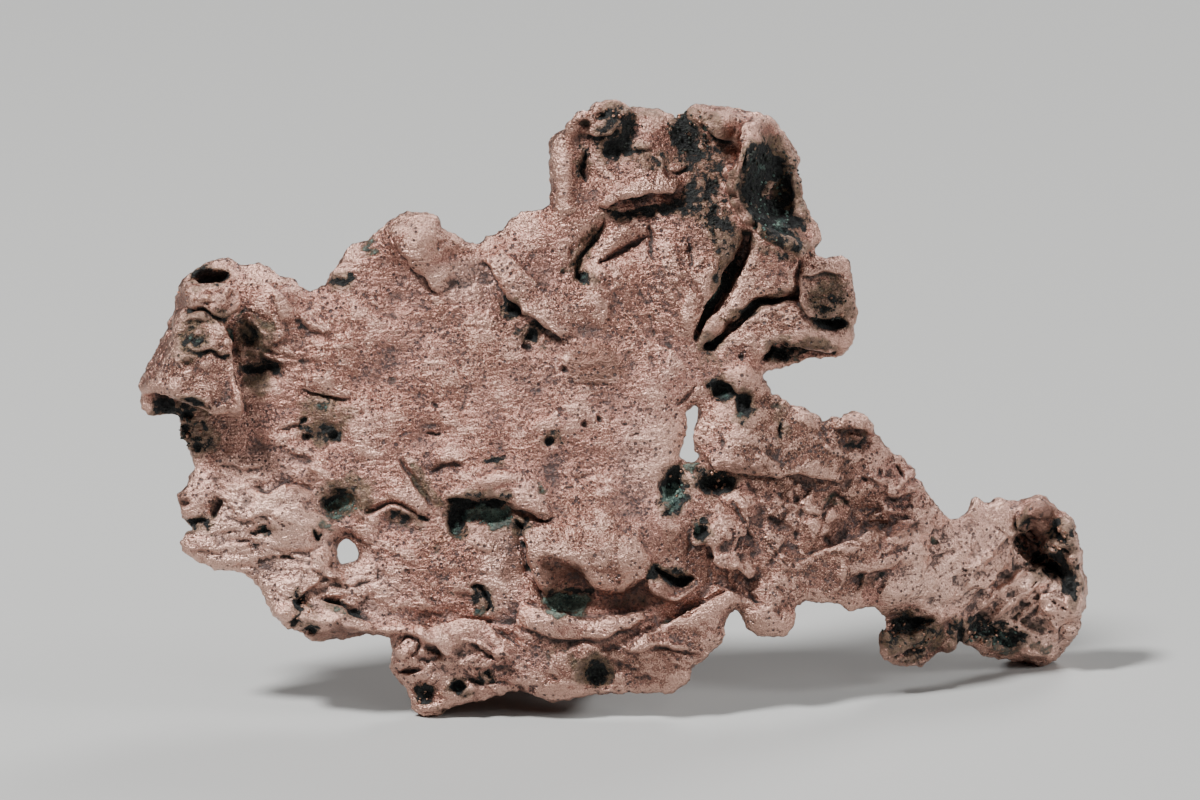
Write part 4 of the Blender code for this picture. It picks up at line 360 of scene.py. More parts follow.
# Small loose lips: (u, v, half width, half height, heading in degrees, how many, length, rise).
FIELDS = (
    (-27, 16.5, 6, 3, -8, 16, 2.4, 0.2), (-24, 10.5, 5.5, 2.6, 8, 14, 2.6, 0.2),
    (-29.5, 13.2, 3.5, 1.6, 4, 8, 2.4, 0.14), (-17, 10.5, 6, 3.2, -12, 14, 2.4, 0.18),
    (-13, 5, 5, 2, -20, 10, 2, 0.2), (-3, 4.6, 7, 2, 4, 10, 2.6, 0.16),
    (-4, 14, 5, 3.6, -20, 10, 2, 0.14), (6, 14.6, 3.4, 3.4, 50, 12, 2, 0.2),
    (12, 14, 4.4, 3.8, 30, 16, 2.2, 0.2), (18.5, 13.6, 4, 4.8, 28, 18, 2.2, 0.24),
    (24, 13, 3.2, 4.6, 38, 14, 2, 0.22), (30.5, 9.6, 3.4, 4.4, 40, 18, 1.8, 0.24),
    (13.5, 20.4, 5, 3, -20, 12, 2.2, 0.18), (-11.5, 21.5, 7, 3.6, -6, 12, 2.2, 0.1),
    (-22, 28, 6, 4.4, 8, 12, 2.4, 0.1), (-12, 31, 6, 4.4, 30, 10, 2.2, 0.07),
    (-0.5, 30, 4.6, 3.6, 60, 10, 2.4, 0.12), (6.4, 32.4, 3, 4, 62, 10, 2.6, 0.14),
    (12.2, 30.6, 3.4, 2, 20, 8, 2, 0.16), (0.5, 40.6, 3.6, 3.4, 10, 10, 1.8, 0.2),
    (-32, 28.6, 2.4, 3.8, 20, 14, 1.6, 0.2), (-25.8, 30, 2.2, 3.2, -40, 8, 2.2, 0.24),
    (33.6, 11, 1.8, 4.6, 70, 12, 1.4, 0.26), (23, 6.2, 2.6, 1.6, 20, 10, 1.4, 0.26),
    (29, 5.4, 3.6, 1.3, -10, 10, 1.4, 0.26), (-14.8, 2.6, 1.8, 1.8, -20, 8, 1.2, 0.24),
)

# ------------------------------------------------------------------- strokes on the back

BACK_LIPS = (
    (((-31, 29.5), (-27, 28), (-23, 29.2), (-19, 27), (-15, 27.6)), 0.4, 1.4, 0.5, 0.2),
    (((-3, 11), (-6, 13.5), (-11, 14.5), (-15, 17), (-20, 17.5)), 0.4, 1.4, 0.5, 0.2),
    (((3, 29), (0.5, 32), (0, 36), (-2, 40)), 0.4, 1.4, 0.5, 0.2),
    (((9, 12), (12, 14.5), (16, 14), (20, 15.5)), 0.4, 1.4, 0.5, 0.2),
    (((-13, 20.4), (-9.4, 21.6), (-5, 20.6), (-1.2, 22.4)), 0.35, 1.2, 0.4, 0.2),
    (((-27.6, 13.4), (-24, 14.8), (-20.8, 13.6)), 0.35, 1, 0.4, 0.2),
    (((6.6, 36.6), (9.6, 34.4), (13, 34)), 0.35, 1, 0.4, 0.2),
    (((-14.6, 6.4), (-9.4, 7.6), (-4, 6.4), (1.6, 7.4)), 0.35, 1.2, 0.4, 0.2),
    (((23, 15.6), (26, 13.6), (29.6, 13.8)), 0.3, 1, 0.4, 0.2),
    (((2.2, 19.4), (5.6, 17.8), (9.2, 18.6), (12.4, 17.2)), 0.3, 1, 0.4, 0.2),
)
BACK_CREASES = (
    (((-31, 23.5), (-25, 22.5), (-19, 24.2), (-13, 22.2), (-8, 23)), 0.5, 0.5),
    (((-12, 35), (-9, 30), (-7, 25), (-3, 20), (-2, 15)), 0.5, 0.5),
    (((4.5, 43), (5.5, 38), (9, 33), (12, 29.5)), 0.5, 0.5),
    (((5, 30), (8, 26.5), (9, 21), (13, 18.5)), -0.35, 0.5),
    (((-28, 10), (-22, 12), (-16, 10), (-11, 11)), -0.35, 0.6),
    (((19, 11), (24, 12.5), (29, 10), (33, 11)), 0.5, 0.4),
    (((-20.6, 33), (-18, 30.2), (-17.2, 28.4)), 0.4, 0.4),
    (((-6.6, 17.6), (-3.6, 18.8), (0.6, 17.6)), 0.4, 0.4),
    (((14.4, 23.4), (16.2, 20.4), (17, 17.4)), 0.4, 0.4),
)
BACK_FIELDS = (
    (-24, 26, 9, 6, 12, 26, 3.2, 0.26), (-24, 13, 8, 5, -14, 24, 3, 0.26),
    (-8, 30, 8, 5, 40, 22, 3, 0.26), (-6, 12, 9, 8, 4, 34, 3.2, 0.26),
    (5, 38, 8, 7, 62, 24, 3, 0.26), (10, 20, 7, 7, -24, 28, 2.8, 0.26),
    (26, 12, 9, 5, 20, 28, 2.4, 0.28), (0, 22, 6, 4, -10, 14, 3, 0.22),
)
BACK_PITS = (
    (-19, 20.6, 1.4, 0.8, 0.6, 10), (-5, 31, 0.9, 0.7, 0.6), (3, 17, 1.2, 0.8, 0.6, -20),
    (-27, 19, 0.9, 0.7, 0.6), (17.5, 18.4, 0.9, 0.6, 0.5), (7.5, 42.5, 1, 0.7, 0.5),
    (-8, 10.6, 0.9, 0.6, 0.5), (11, 15.8, 0.7, 0.6, 0.5), (-14, 25, 0.8, 0.6, 0.5, 30),
    (27.5, 11.6, 0.8, 0.6, 0.5), (0.6, 38.6, 0.8, 1, 0.4), (-23, 16, 0.7, 0.5, 0.5),
)

# ------------------------------------------------------------- ovals of colour and crust

CRUST_AND_POCKET_SHADE = (  # black-green mineral crust, and painted shade in the deepest pockets and crevices
    (-0.3, 44.3, 1.4, 2.4, 0.8, -22), (0.6, 43, 0.9, 1, 0.5), (4.9, 44.7, 1.2, 1.8, 0.7),
    (6.4, 43.2, 2.1, 2.5, 0.5), (7.1, 39.6, 1.7, 3.3, 0.5), (-2.7, 42.2, 0.4, 1.4, 0.5),
    (3.2, 42, 2.2, 0.8, 0.45, 12), (6.4, 45.6, 1.6, 0.8, 0.5, -10), (2.6, 46, 2.4, 0.6, 0.45),
    (1.6, 42.6, 1.9, 0.5, 0.5, 14), (2, 38.4, 3.3, 0.55, 0.78, 6), (5.9, 39.7, 1.4, 1.1, 0.72, 30),
    (7.4, 37.2, 1.2, 1.2, 0.6), (10.6, 41.8, 1.4, 2.1, 0.92, 15), (10, 39.8, 0.7, 1.6, 0.85, 20),
    (11.9, 37.8, 2.2, 1.4, 0.92, -30), (13.4, 40.2, 1.2, 4, 0.48, 8),
    (-2.6, 35.6, 0.4, 2.6, 0.5, -25), (-2.3, 33.2, 0.9, 0.45, 0.68, -45),
    (8.2, 36.4, 1.2, 1.6, 0.62), (-9.2, 19.5, 0.9, 0.35, 0.55, 20),
    (-31.8, 14.8, 1.4, 0.5, 0.7, 10), (5.4, 38.6, 1.6, 0.7, 0.6), (16.3, 31, 1.8, 1.3, 0.52, 10),
    (16.1, 29.9, 1.6, 0.7, 0.78), (12.3, 27.8, 1.4, 1.1, 0.62), (14.6, 28.1, 2.2, 0.5, 0.6),
    (7, 28.3, 1.2, 0.8, 0.6), (12.4, 35.9, 2.2, 1, 0.85, -20), (-32.4, 28.6, 1.4, 1.5, 0.48),
    (-31, 33.4, 1.7, 0.8, 0.95, 8), (-28.2, 29.2, 1.2, 1.3, 0.32), (-27.2, 26.6, 1.8, 0.5, 0.6, 5),
    (-33.4, 23.6, 2.4, 0.8, 0.9, 12), (-32.2, 21.4, 1.6, 2, 0.6), (-30.6, 30.5, 2.4, 0.5, 0.45, 4),
    (-31, 27.5, 2.2, 0.4, 0.45), (-21.2, 17, 1.7, 0.7, 0.55, 5),
    (-22.8, 13.9, 0.8, 0.35, 0.62, -50), (-26.7, 14.2, 0.9, 0.6, 0.46, 20),
    (-24.1, 8.9, 0.5, 1.1, 0.62, 10), (-21.1, 8.4, 1.7, 0.6, 0.62, -28),
    (-23.6, 21.8, 0.9, 1, 0.42), (-21.6, 21.4, 1, 0.8, 0.48), (-22, 23.7, 2.2, 0.5, 0.5, -12),
    (-10.6, 16.6, 2.6, 0.7, 0.85), (-12.1, 15.2, 1.1, 1.6, 0.65), (-16, 15.3, 1.6, 0.5, 0.6, -12),
    (-7.2, 14.5, 0.8, 0.9, 0.7), (-4, 9.6, 1.9, 0.5, 0.7), (-10.2, 9.1, 1, 1.4, 0.62, 30),
    (-14.8, 1.9, 1, 0.8, 0.75), (-12.9, 0.5, 0.8, 0.6, 0.6), (-12.1, 2.5, 0.9, 0.9, 0.65),
    (-1.6, 3.4, 0.8, 1.4, 0.6), (-9.8, 3.3, 0.8, 0.7, 0.55), (3.9, 10.8, 1.9, 0.8, 0.75, -12),
    (6.3, 14.1, 0.9, 0.9, 0.8), (4.3, 17.2, 1.2, 2, 0.8, -10), (7.4, 17.8, 2, 1.1, 0.72),
    (7.8, 24.9, 1.2, 1, 0.7), (9.5, 23.8, 1, 1.6, 0.62), (17.9, 20.9, 0.8, 0.4, 0.5, 10),
    (-7.9, 31.1, 1, 0.9, 0.6), (-6.5, 29.1, 1, 0.9, 0.55), (-5.1, 21, 0.8, 0.7, 0.5),
    (33.1, 11.7, 1.4, 1, 0.85, -40), (31, 14.4, 0.35, 1.7, 0.7, -12), (34.8, 10, 0.8, 1.8, 0.8),
    (28.9, 6.3, 2.8, 1.1, 0.68, -20), (22.2, 6.4, 2.5, 1.6, 0.6, 10), (26.2, 6.2, 0.8, 1.4, 0.65),
    (22.4, 4.8, 1.2, 0.8, 0.6, 10), (34.2, 13.6, 1.3, 1.6, 0.62, 30), (-24.4, 7.3, 0.3, 0.6, 0.8),
    (-23.2, 6.7, 0.7, 0.4, 0.8, -20), (19, 10.3, 1.6, 0.6, 0.25, 20),
    (32.6, 11.4, 1, 1.4, 0.6, -30), (-21, 33, 0.9, 0.8, 0.6), (8, 33.4, 0.5, 4.2, 0.6, -24),
    (10.4, 31.2, 3.2, 0.5, 0.55, 24), (12.4, 22, 0.5, 1.4, 0.45), (-31.8, 14.6, 1.4, 0.6, 0.45),
)
VERDIGRIS = (  # pale blue-green copper salts
    (-9.3, 15.2, 1.5, 0.9, 1), (-10.8, 15.6, 0.8, 0.5, 0.8), (-12.1, 14.2, 0.6, 0.8, 0.7),
    (-4, 8.7, 1.8, 0.9, 1), (-10.3, 7.9, 0.5, 0.4, 0.7), (-21, 16, 1.3, 0.9, 0.62, 20),
    (-22.2, 14.6, 0.4, 0.4, 0.8), (4.2, 17, 0.8, 1.2, 0.9, -10), (5.6, 18.9, 0.5, 0.4, 0.9),
    (5.8, 14.6, 0.3, 0.3, 0.9), (12, 23.7, 0.7, 0.5, 0.5), (9.3, 23.1, 0.5, 0.4, 0.6),
    (8, 24.6, 0.5, 0.4, 0.6), (12, 27.1, 0.4, 0.3, 0.7), (13.6, 27, 0.4, 0.3, 0.7),
    (11.2, 38.5, 1, 0.9, 0.4), (10.6, 41.6, 0.6, 0.8, 0.5), (12.5, 37.2, 1.2, 0.6, 0.5, -30),
    (6.4, 44, 0.6, 1, 0.4), (-18.8, 35.9, 0.5, 0.4, 0.7), (-18.6, 35.2, 0.4, 0.3, 0.6),
    (-32, 29, 0.6, 0.4, 0.5), (-33.1, 27.4, 0.6, 0.4, 0.5), (-32.6, 14, 0.5, 0.4, 0.6),
    (-26.7, 14.2, 0.3, 0.3, 0.6), (-2.7, 33.2, 0.4, 0.4, 0.5), (-1.8, 3.2, 0.8, 0.9, 0.25),
    (-12.2, 2.3, 0.4, 0.3, 0.6), (29.4, 5.4, 2, 0.7, 0.6, -24), (32.3, 5.2, 0.9, 0.5, 0.6),
    (27.6, 6.9, 0.8, 0.5, 0.5), (24.2, 13.3, 0.4, 0.3, 0.6), (34.6, 13.2, 0.6, 0.5, 0.5),
    (16.6, 16.4, 1.2, 0.3, 0.5), (7, 28.4, 0.6, 0.4, 0.5), (-21.2, 8.3, 1.1, 0.3, 0.6, -28),
    (-5.7, 17.3, 0.3, 0.6, 0.6), (-4.1, 33.8, 0.4, 0.3, 0.7), (-7.8, 31.1, 0.4, 0.3, 0.5),
    (-22.6, 23.6, 1.4, 0.3, 0.4, -12),
)
OLIVE = (  # olive and brown tarnish
    (11.7, 39.8, 2.7, 4.8, 0.95, 12), (-20.6, 16.9, 2.5, 1.6, 0.9, 10),
    (-10.8, 16.3, 2.8, 1.3, 0.8), (-2, 3.6, 1.9, 1.6, 0.9), (-32.2, 28.6, 1.6, 1.9, 0.8),
    (-31.6, 14.8, 1.8, 0.9, 0.8, 10), (-22.2, 22.6, 2.4, 2.4, 0.7), (15.9, 31.2, 2, 2.4, 0.8),
    (-24, 7.6, 1.6, 1.4, 0.7), (-14.7, 17.9, 2.6, 0.6, 0.9, -55), (-2.6, 35.4, 0.7, 2.8, 0.8, -25),
    (-4, 4.4, 2.4, 0.8, 0.6, -20), (-27.6, 28.8, 1.8, 1.9, 0.8), (22.2, 6, 2.6, 2, 0.6),
    (33, 11.6, 1.4, 1.4, 0.6), (1.4, 46.2, 3, 0.4, 0.5), (-4.6, 41, 0.5, 3, 0.4),
    (-7.4, 40, 2.4, 0.7, 0.4, 35), (-27.2, 25.2, 1.4, 1.2, 0.9), (-22.4, 23.7, 2.2, 0.8, 0.8, -12),
    (-22.2, 21.6, 1.9, 1.2, 0.8), (-31.6, 21.6, 1.7, 1.8, 0.7), (-31.8, 18.9, 0.7, 1, 0.6),
    (-16.2, 15.3, 2.2, 1, 0.6, -12), (-30.8, 16.2, 0.6, 1.2, 0.6), (-13.8, 13.4, 1.5, 1.5, 0.55),
    (-9, 19.5, 0.9, 0.6, 0.6), (-2.2, 22.8, 1.6, 0.6, 0.4), (-11.7, 34.6, 1.2, 0.8, 0.4),
    (-16.6, 25.4, 1.6, 0.6, 0.35), (-12, 9.2, 1.6, 1, 0.4), (7.4, 27, 1.6, 1.2, 0.6),
    (8, 18.4, 2.6, 0.9, 0.5), (-19.4, 15.6, 0.8, 1, 0.6), (-9.2, 31, 1.2, 1, 0.4),
    (2, 9, 3.6, 0.8, 0.45, 8), (22.2, 6.2, 2.9, 1.9, 0.9, 10), (25.6, 5.4, 1.1, 1, 0.8),
    (-8.4, 31, 1, 0.8, 0.5), (7.8, 6, 1.2, 0.9, 0.3), (-26.6, 28.2, 1.8, 1.4, 0.4),
    (4.4, 46, 4.8, 0.6, 0.5), (-2.4, 45.4, 1.4, 1.4, 0.5), (15.8, 32.2, 2.3, 2.2, 0.5),
    (-24.6, 8.6, 1.4, 0.9, 0.5), (-30.6, 28.4, 2.8, 3.2, 0.3), (-15, 2.2, 1.4, 1.4, 0.4),
    (-5.8, 28.8, 1.4, 1.1, 0.5, -30), (18, 21.6, 1.4, 0.7, 0.5), (30, 6.4, 3.6, 1.8, 0.5, -18),
)
PALE_AND_PAINTED_LIGHT = (  # brighter, cleaner copper, partly painted light on faces the lamps leave dim
    (32.6, 8.4, 3.8, 4.2, 1), (28.2, 11.6, 4.4, 4, 0.8), (34.9, 12, 0.8, 4, 0.8),
    (-25, 10.6, 8, 4.6, 0.6, -10), (-8.8, 11.2, 1.4, 3.6, 0.6, -8), (-27, 17, 5, 3, 0.4),
    (24.8, 9.9, 4.6, 2.2, 1), (26, 13.8, 5, 3, 0.6, 10), (-11.6, 33.2, 3.2, 2, 0.6, -20),
    (-27, 14.6, 5, 3, 0.8), (-28.8, 24.3, 0.5, 1.2, 0.8, 16), (-12, 4.4, 4.4, 2.6, 0.4, -20),
    (3, 18.6, 3.4, 5, 0.35),
)
DULL_AND_PAINTED_SHADE = (  # darker, browner copper, partly painted shade under rims and overhangs
    (-28.4, 29.6, 1.9, 1.6, 0.9, -30), (1.4, 40.6, 3.6, 1.6, 0.5, 8), (-3.6, 41.4, 1.6, 3.6, 0.5),
    (9.1, 41.2, 1, 4.6, 1), (11.6, 36.4, 3.4, 0.7, 0.9, -32), (9.4, 34.2, 1.2, 2.4, 0.9, -25),
    (16.4, 12.6, 5, 3.2, 0.7, 10), (15.6, 14.4, 5.6, 5.4, 0.8), (13.4, 20.6, 5.4, 4.2, 1, -20),
    (9, 22.8, 3.2, 3, 0.5), (-13.4, 36.6, 2.6, 2, 0.5), (-2, 13.8, 5, 3.6, 0.6),
    (12, 31, 3.2, 2.2, 0.9, 15), (-7, 4.4, 4, 2.4, 0.3), (8.2, 33, 5, 5.4, 0.55),
    (-31, 27, 3.6, 6.6, 0.75), (3.4, 4.6, 6.4, 3.2, 0.6, 10), (-6, 28.6, 9, 5.2, 0.4),
    (7.4, 12.6, 4.4, 4.6, 0.6), (-27, 28, 3, 3.4, 0.5), (10.6, 9.4, 2.4, 3.2, 0.6),
    (15.8, 31.6, 2.8, 3.2, 0.6), (22.2, 6, 3, 2.6, 0.6),
)
RUSSET_AND_SHADE = (  # dark red-brown oxide, and painted shade with a red cast in smooth recesses and under overhangs
    (-1.9, 26.8, 2.1, 1.7, 0.9), (-24, 17.9, 1.3, 0.7, 0.7), (-21.4, 12, 0.5, 1.9, 0.8, 5),
    (-19.6, 12.8, 0.4, 0.9, 0.7), (-21, 6.2, 3.2, 0.7, 0.7), (-13.2, 19.2, 1.8, 0.4, 0.8, 10),
    (-7.9, 12.6, 0.6, 2.6, 0.9, -12), (-6.6, 15.5, 1.6, 0.4, 0.8, -12), (-4.4, 10.9, 2, 0.8, 0.9),
    (1.4, 9, 3.6, 1.2, 0.7, 10), (4.2, 13.2, 2.6, 1.6, 0.5), (3.8, 11.2, 1.4, 0.5, 0.7, -25),
    (9, 19, 3, 0.7, 0.6), (14, 28, 2.6, 0.5, 0.6), (20.6, 14.4, 2.8, 0.7, 0.8),
    (32.3, 14.8, 1.6, 2.2, 1, -20), (33.9, 10.8, 0.8, 1.2, 0.9), (22, 6, 2.6, 1.6, 0.6),
    (18.4, 10.2, 1.6, 0.5, 0.6, 20), (17.6, 21.8, 1.6, 0.5, 0.6), (17.8, 22.5, 0.8, 0.3, 0.4),
    (-28.5, 22.8, 0.7, 0.5, 0.6), (-32.9, 16.7, 0.7, 0.7, 0.7), (-14.1, 1.6, 0.5, 0.4, 0.8),
    (-8.6, 6, 1.5, 0.4, 0.5, -35), (5, 19.2, 0.4, 0.4, 0.9), (11.1, 20.8, 0.4, 0.4, 0.8),
    (8.8, 40.6, 0.6, 4, 0.7), (11.6, 36.4, 3.4, 0.6, 0.7, -32), (12.6, 41.6, 1.6, 2.6, 0.5, 20),
    (25.4, 4.9, 1, 0.7, 0.7), (-9.8, 14.2, 2.2, 0.4, 0.5), (7, 32.4, 1.4, 3.6, 0.3, -22),
    (-0.2, 45.4, 2.8, 0.9, 0.4), (34.2, 7.6, 1.2, 1.6, 0.3),
)

# Loose grains: (kind, u, v, half width, half height, how many, size in mm).
GRAINS = (
    ("salts", -9.3, 15.2, 1.4, 0.7, 34, 0.16), ("salts", -4, 8.7, 1.5, 0.7, 36, 0.16),
    ("salts", -21, 15.8, 1.3, 0.8, 30, 0.17), ("salts", 4.3, 17.1, 0.7, 1, 26, 0.22),
    ("salts", 29.2, 5.7, 2.4, 0.8, 12, 0.16), ("salts", 11.4, 38.6, 1.5, 2.6, 46, 0.17),
    ("crust", 5.2, 44.2, 1.7, 1.8, 50, 0.18), ("crust", 7.2, 38.6, 1, 2.2, 34, 0.16),
    ("crust", 1, 44.4, 1.1, 1.5, 30, 0.15), ("crust", 12.3, 40.6, 1.5, 2.4, 44, 0.18),
    ("crust", 7.4, 17.8, 1.3, 0.6, 34, 0.2), ("crust", 32, 12.6, 1.6, 1.2, 30, 0.17),
    ("crust", 15.9, 31.4, 1.6, 1.7, 40, 0.18), ("crust", 22.2, 6.4, 2.2, 1, 40, 0.18),
    ("crust", 12.3, 27.8, 0.9, 0.7, 22, 0.16), ("crust", -32.4, 21.4, 1, 1.4, 26, 0.17),
    ("crust", -1.8, 3.2, 0.9, 0.9, 22, 0.16), ("crust", 29, 6.2, 2.4, 0.9, 34, 0.18),
    ("crust", 10.6, 41.4, 1, 1.8, 40, 0.2), ("copper", 7.6, 18, 1.4, 0.8, 13, 0.22),
    ("copper", -19.5, 15.6, 0.5, 0.7, 6, 0.2), ("copper", -14, 13.4, 1.2, 1.3, 17, 0.17),
    ("copper", 22.3, 6, 2.3, 1.2, 18, 0.22), ("copper", 28.8, 6, 2.3, 0.9, 13, 0.22),
    ("copper", -31.8, 32.2, 1.6, 0.9, 11, 0.2), ("copper", -1.2, 45.6, 1.7, 0.6, 11, 0.22),
    ("copper", 33.9, 13.6, 0.9, 1.1, 10, 0.22), ("copper", -24.2, 8.2, 1, 0.9, 9, 0.2),
    ("copper", -14.2, 2.2, 1.2, 1.3, 10, 0.2), ("copper", -32.2, 22.2, 1.2, 1, 8, 0.2),
    ("copper", 16.4, 31.6, 1.3, 1.4, 9, 0.2), ("copper", 4.6, 17.6, 0.9, 1.2, 8, 0.22),
    ("copper", 5.4, 45.4, 2, 0.6, 8, 0.2),
)

# ------------------------------------------------------------------------ face and strokes


def on_face(points):
    """Across, up and out (u, v, w) on the leaning face of upright points, all in millimetres."""
    x, y, z = (points + FACE_ORIGIN).T
    cosine = math.cos(FACE_LEAN)
    sine = math.sin(FACE_LEAN)
    return np.stack([x, y * sine + z * cosine, z * sine - y * cosine], axis=1)


def upright(across, up, out):
    """Upright vectors of steps taken across, up and out of the face."""
    cosine = math.cos(FACE_LEAN)
    sine = math.sin(FACE_LEAN)
    return np.stack([across, up * sine - out * cosine, up * cosine + out * sine], axis=1)


def ease(x):
    """0 below 0, 1 above 1 and smooth between."""
    x = np.clip(x, 0.0, 1.0)
    return x * x * (3.0 - 2.0 * x)


def smooth_line(points):
    """Close points along a Catmull-Rom curve through the given ones."""
    points = np.array(points, float)
    last = len(points) - 1
    line = []
    for i in range(last):
        a, b, c, d = (points[min(max(i + k, 0), last)] for k in (-1, 0, 1, 2))
        pieces = max(1, round(float(np.linalg.norm(c - b)) / LINE_STEP))
        for t in np.arange(pieces) / pieces:
            line.append(
                0.5 * (2 * b + (c - a) * t + (2 * a - 5 * b + 4 * c - d) * t * t
                       + (3 * b - a - 3 * c + d) * t ** 3)
            )
    line.append(points[-1])
    return np.array(line)


def along(points, path):
    """For each point: how far left of the path it is, and its run from the path's nearer end."""
    starts = path[:-1]
    spans = path[1:] - starts
    lengths = np.linalg.norm(spans, axis=1)
    gaps = points[:, None, :] - starts[None]
    share = np.clip((gaps * spans).sum(-1) / lengths ** 2, 0.0, 1.0)
    distance = np.linalg.norm(gaps - share[..., None] * spans[None], axis=-1)
    nearest = distance.argmin(axis=1)
    rows = np.arange(len(points))
    side = spans[nearest, 0] * gaps[rows, nearest, 1] - spans[nearest, 1] * gaps[rows, nearest, 0]
    run = np.concatenate([[0.0], np.cumsum(lengths)])
    here = run[nearest] + share[rows, nearest] * lengths[nearest]
    signed = np.where(side >= 0, 1.0, -1.0) * distance[rows, nearest]
    return signed, np.minimum(here, run[-1] - here)


def close_to(points, line, reach):
    """Indices of the points inside the line's own box, widened by reach."""
    low = line.min(axis=0) - reach
    high = line.max(axis=0) + reach
    return np.nonzero(((points > low) & (points < high)).all(axis=1))[0]


def oval(points, u, v, half_width, half_height, turn=0):
    """Distance from the centre of a turned oval, 1 on its edge."""
    angle = math.radians(turn)
    gap = points - (u, v)
    across = gap[:, 0] * math.cos(angle) + gap[:, 1] * math.sin(angle)
    up = gap[:, 1] * math.cos(angle) - gap[:, 0] * math.sin(angle)
    return np.hypot(across / half_width, up / half_height)


def rough(points, size, seed, octaves=3):
    """Smooth noise of about plus or minus one, with bumps of the given size."""
    spots = points / size + (seed, 0.0, 0.0)
    return np.array([noise.fractal(spot, 1.0, 2.0, octaves) for spot in spots])


def in_order(ovals):
    """Each oval as u, v, half width, half height, turn and strength."""
    for u, v, half_width, half_height, strength, *turn in ovals:
        yield u, v, half_width, half_height, sum(turn), strength


def bumps(points, height, size, seed, octaves):
    return height * rough(points, size, seed, octaves)


def stroked(points, lips, creases, pits, knobs):
    """Height and sideways shift that a side's strokes give at points (u, v)."""
    height = np.zeros(len(points))
    shift = np.zeros((len(points), 2))
    for *place, rise in in_order(knobs):
        r = oval(points, *place)
        height += rise * np.clip(1 - r * r, 0, 1)
    for path, rise, reach, cut, overhang in lips:
        line = smooth_line(path)
        near = close_to(points, line, 3.0 * reach)
        side, from_end = along(points[near], line)
        strength = ease(from_end / LIP_END)
        above = ease(side / LIP_EDGE + 0.5)
        step = rise * above * np.exp(-np.maximum(side, 0) / reach)
        step -= LIP_CUT * cut * np.exp(-((side - CUT_PLACE) / CUT_WIDTH) ** 2)
        height[near] += strength * step
        heading = line[-1] - line[0]
        down = np.array([heading[1], -heading[0]]) / np.linalg.norm(heading)
        push = strength * above * overhang * np.exp(-np.maximum(side, 0) / OVERHANG_REACH)
        shift[near] += push[:, None] * down
    for path, depth, half_width in creases:
        line = smooth_line(path)
        near = close_to(points, line, half_width)
        side, from_end = along(points[near], line)
        run = np.linalg.norm(np.diff(line, axis=0), axis=1).sum()
        open_share = CREASE_POINT + (1 - CREASE_POINT) * ease(3.0 * from_end / run)
        profile = 1 - np.clip(np.abs(side) / (half_width * open_share), 0, 1)
        height[near] -= depth * ease(from_end / CREASE_END) * profile ** CREASE_SHARPNESS
    outer, wall = PIT_WALL
    for *place, depth in in_order(pits):
        height -= PIT_DEPTH * depth * ease((outer - oval(points, *place)) / wall)
    return height, shift


def patched(points, patches):
    """How far each point (u, v) lies within any of the patches, from 0 to 1."""
    share = np.zeros(len(points))
    outer, edge = PATCH_EDGE
    for *place, strength in in_order(patches):
        share = np.maximum(share, strength * ease((outer - oval(points, *place)) / edge))
    return share


# -------------------------------------------------------------------------------- the skin


def make_active(piece):
    bpy.ops.object.select_all(action="DESELECT")
    piece.select_set(True)
    bpy.context.view_layer.objects.active = piece


def apply_modifier(piece, kind, **settings):
    modifier = piece.modifiers.new(kind.title(), kind)
    for name, value in settings.items():
        setattr(modifier, name, value)
    make_active(piece)
    bpy.ops.object.modifier_apply(modifier=modifier.name)


def resize(piece, factor):
    """Scales the piece's own mesh about its origin."""
    make_active(piece)
    bpy.ops.object.mode_set(mode="EDIT")
    bpy.ops.mesh.select_all(action="SELECT")
    bpy.ops.transform.resize(value=(factor, factor, factor), center_override=(0, 0, 0))
    bpy.ops.object.mode_set(mode="OBJECT")


def vectors_of(items, name):
    values = np.empty(3 * len(items))
    items.foreach_get(name, values)
    return values.reshape(-1, 3)


def edges_of(mesh):
    pairs = np.empty(2 * len(mesh.edges), int)
    mesh.edges.foreach_get("vertices", pairs)
    return pairs.reshape(-1, 2)


def spread(values, edges, rounds):
    """Each value drawn halfway towards the mean of its neighbours, over and over."""
    columns = values.reshape(len(values), -1).copy()
    ends = np.concatenate([edges[:, 0], edges[:, 1]])
    others = np.concatenate([edges[:, 1], edges[:, 0]])
    count = np.maximum(np.bincount(ends, minlength=len(values)), 1)
    for _ in range(rounds):
        for k in range(columns.shape[1]):
            near = np.bincount(ends, weights=columns[others, k], minlength=len(values)) / count
            columns[:, k] = 0.5 * (columns[:, k] + near)
    return columns.reshape(values.shape)


def foremost(face, towards):
    """Whether each point is on the foremost sheet, seen from the front (1) or the back (-1)."""
    columns = np.floor((face[:, :2] - face[:, :2].min(axis=0)) / DEPTH_CELL).astype(int) + 1
    wide, high = columns.max(axis=0) + 2
    nearest = np.full((wide, high), -1e9)
    depth = face[:, 2] * towards
    np.maximum.at(nearest, (columns[:, 0], columns[:, 1]), depth)
    return depth > nearest[columns[:, 0], columns[:, 1]] - SHEET_DEPTH


def seen_from(face, normals, edges, towards):
    """How plainly each point shows from the front (1) or the back (-1), from 0 to 1."""
    facing = ease((on_face(normals - FACE_ORIGIN)[:, 2] * towards + 0.15) / 0.4)
    return spread(facing * foremost(face, towards), edges, 3)


def join_block(skin, operation, block):
    """Cuts a leaning block out of the skin, or joins it on: (u, v, w, width, depth, height)."""
    u, v, w, *sides = block
    place = upright(*np.array([[u], [v], [w]]))[0] - FACE_ORIGIN
    bpy.ops.object.select_all(action="DESELECT")
    bpy.ops.mesh.primitive_cube_add(size=1.0, location=place, rotation=(-FACE_LEAN, 0.0, 0.0))
    piece = bpy.context.object
    piece.scale = sides
    apply_modifier(skin, "BOOLEAN", object=piece, operation=operation, solver="EXACT")
    bpy.data.objects.remove(piece)


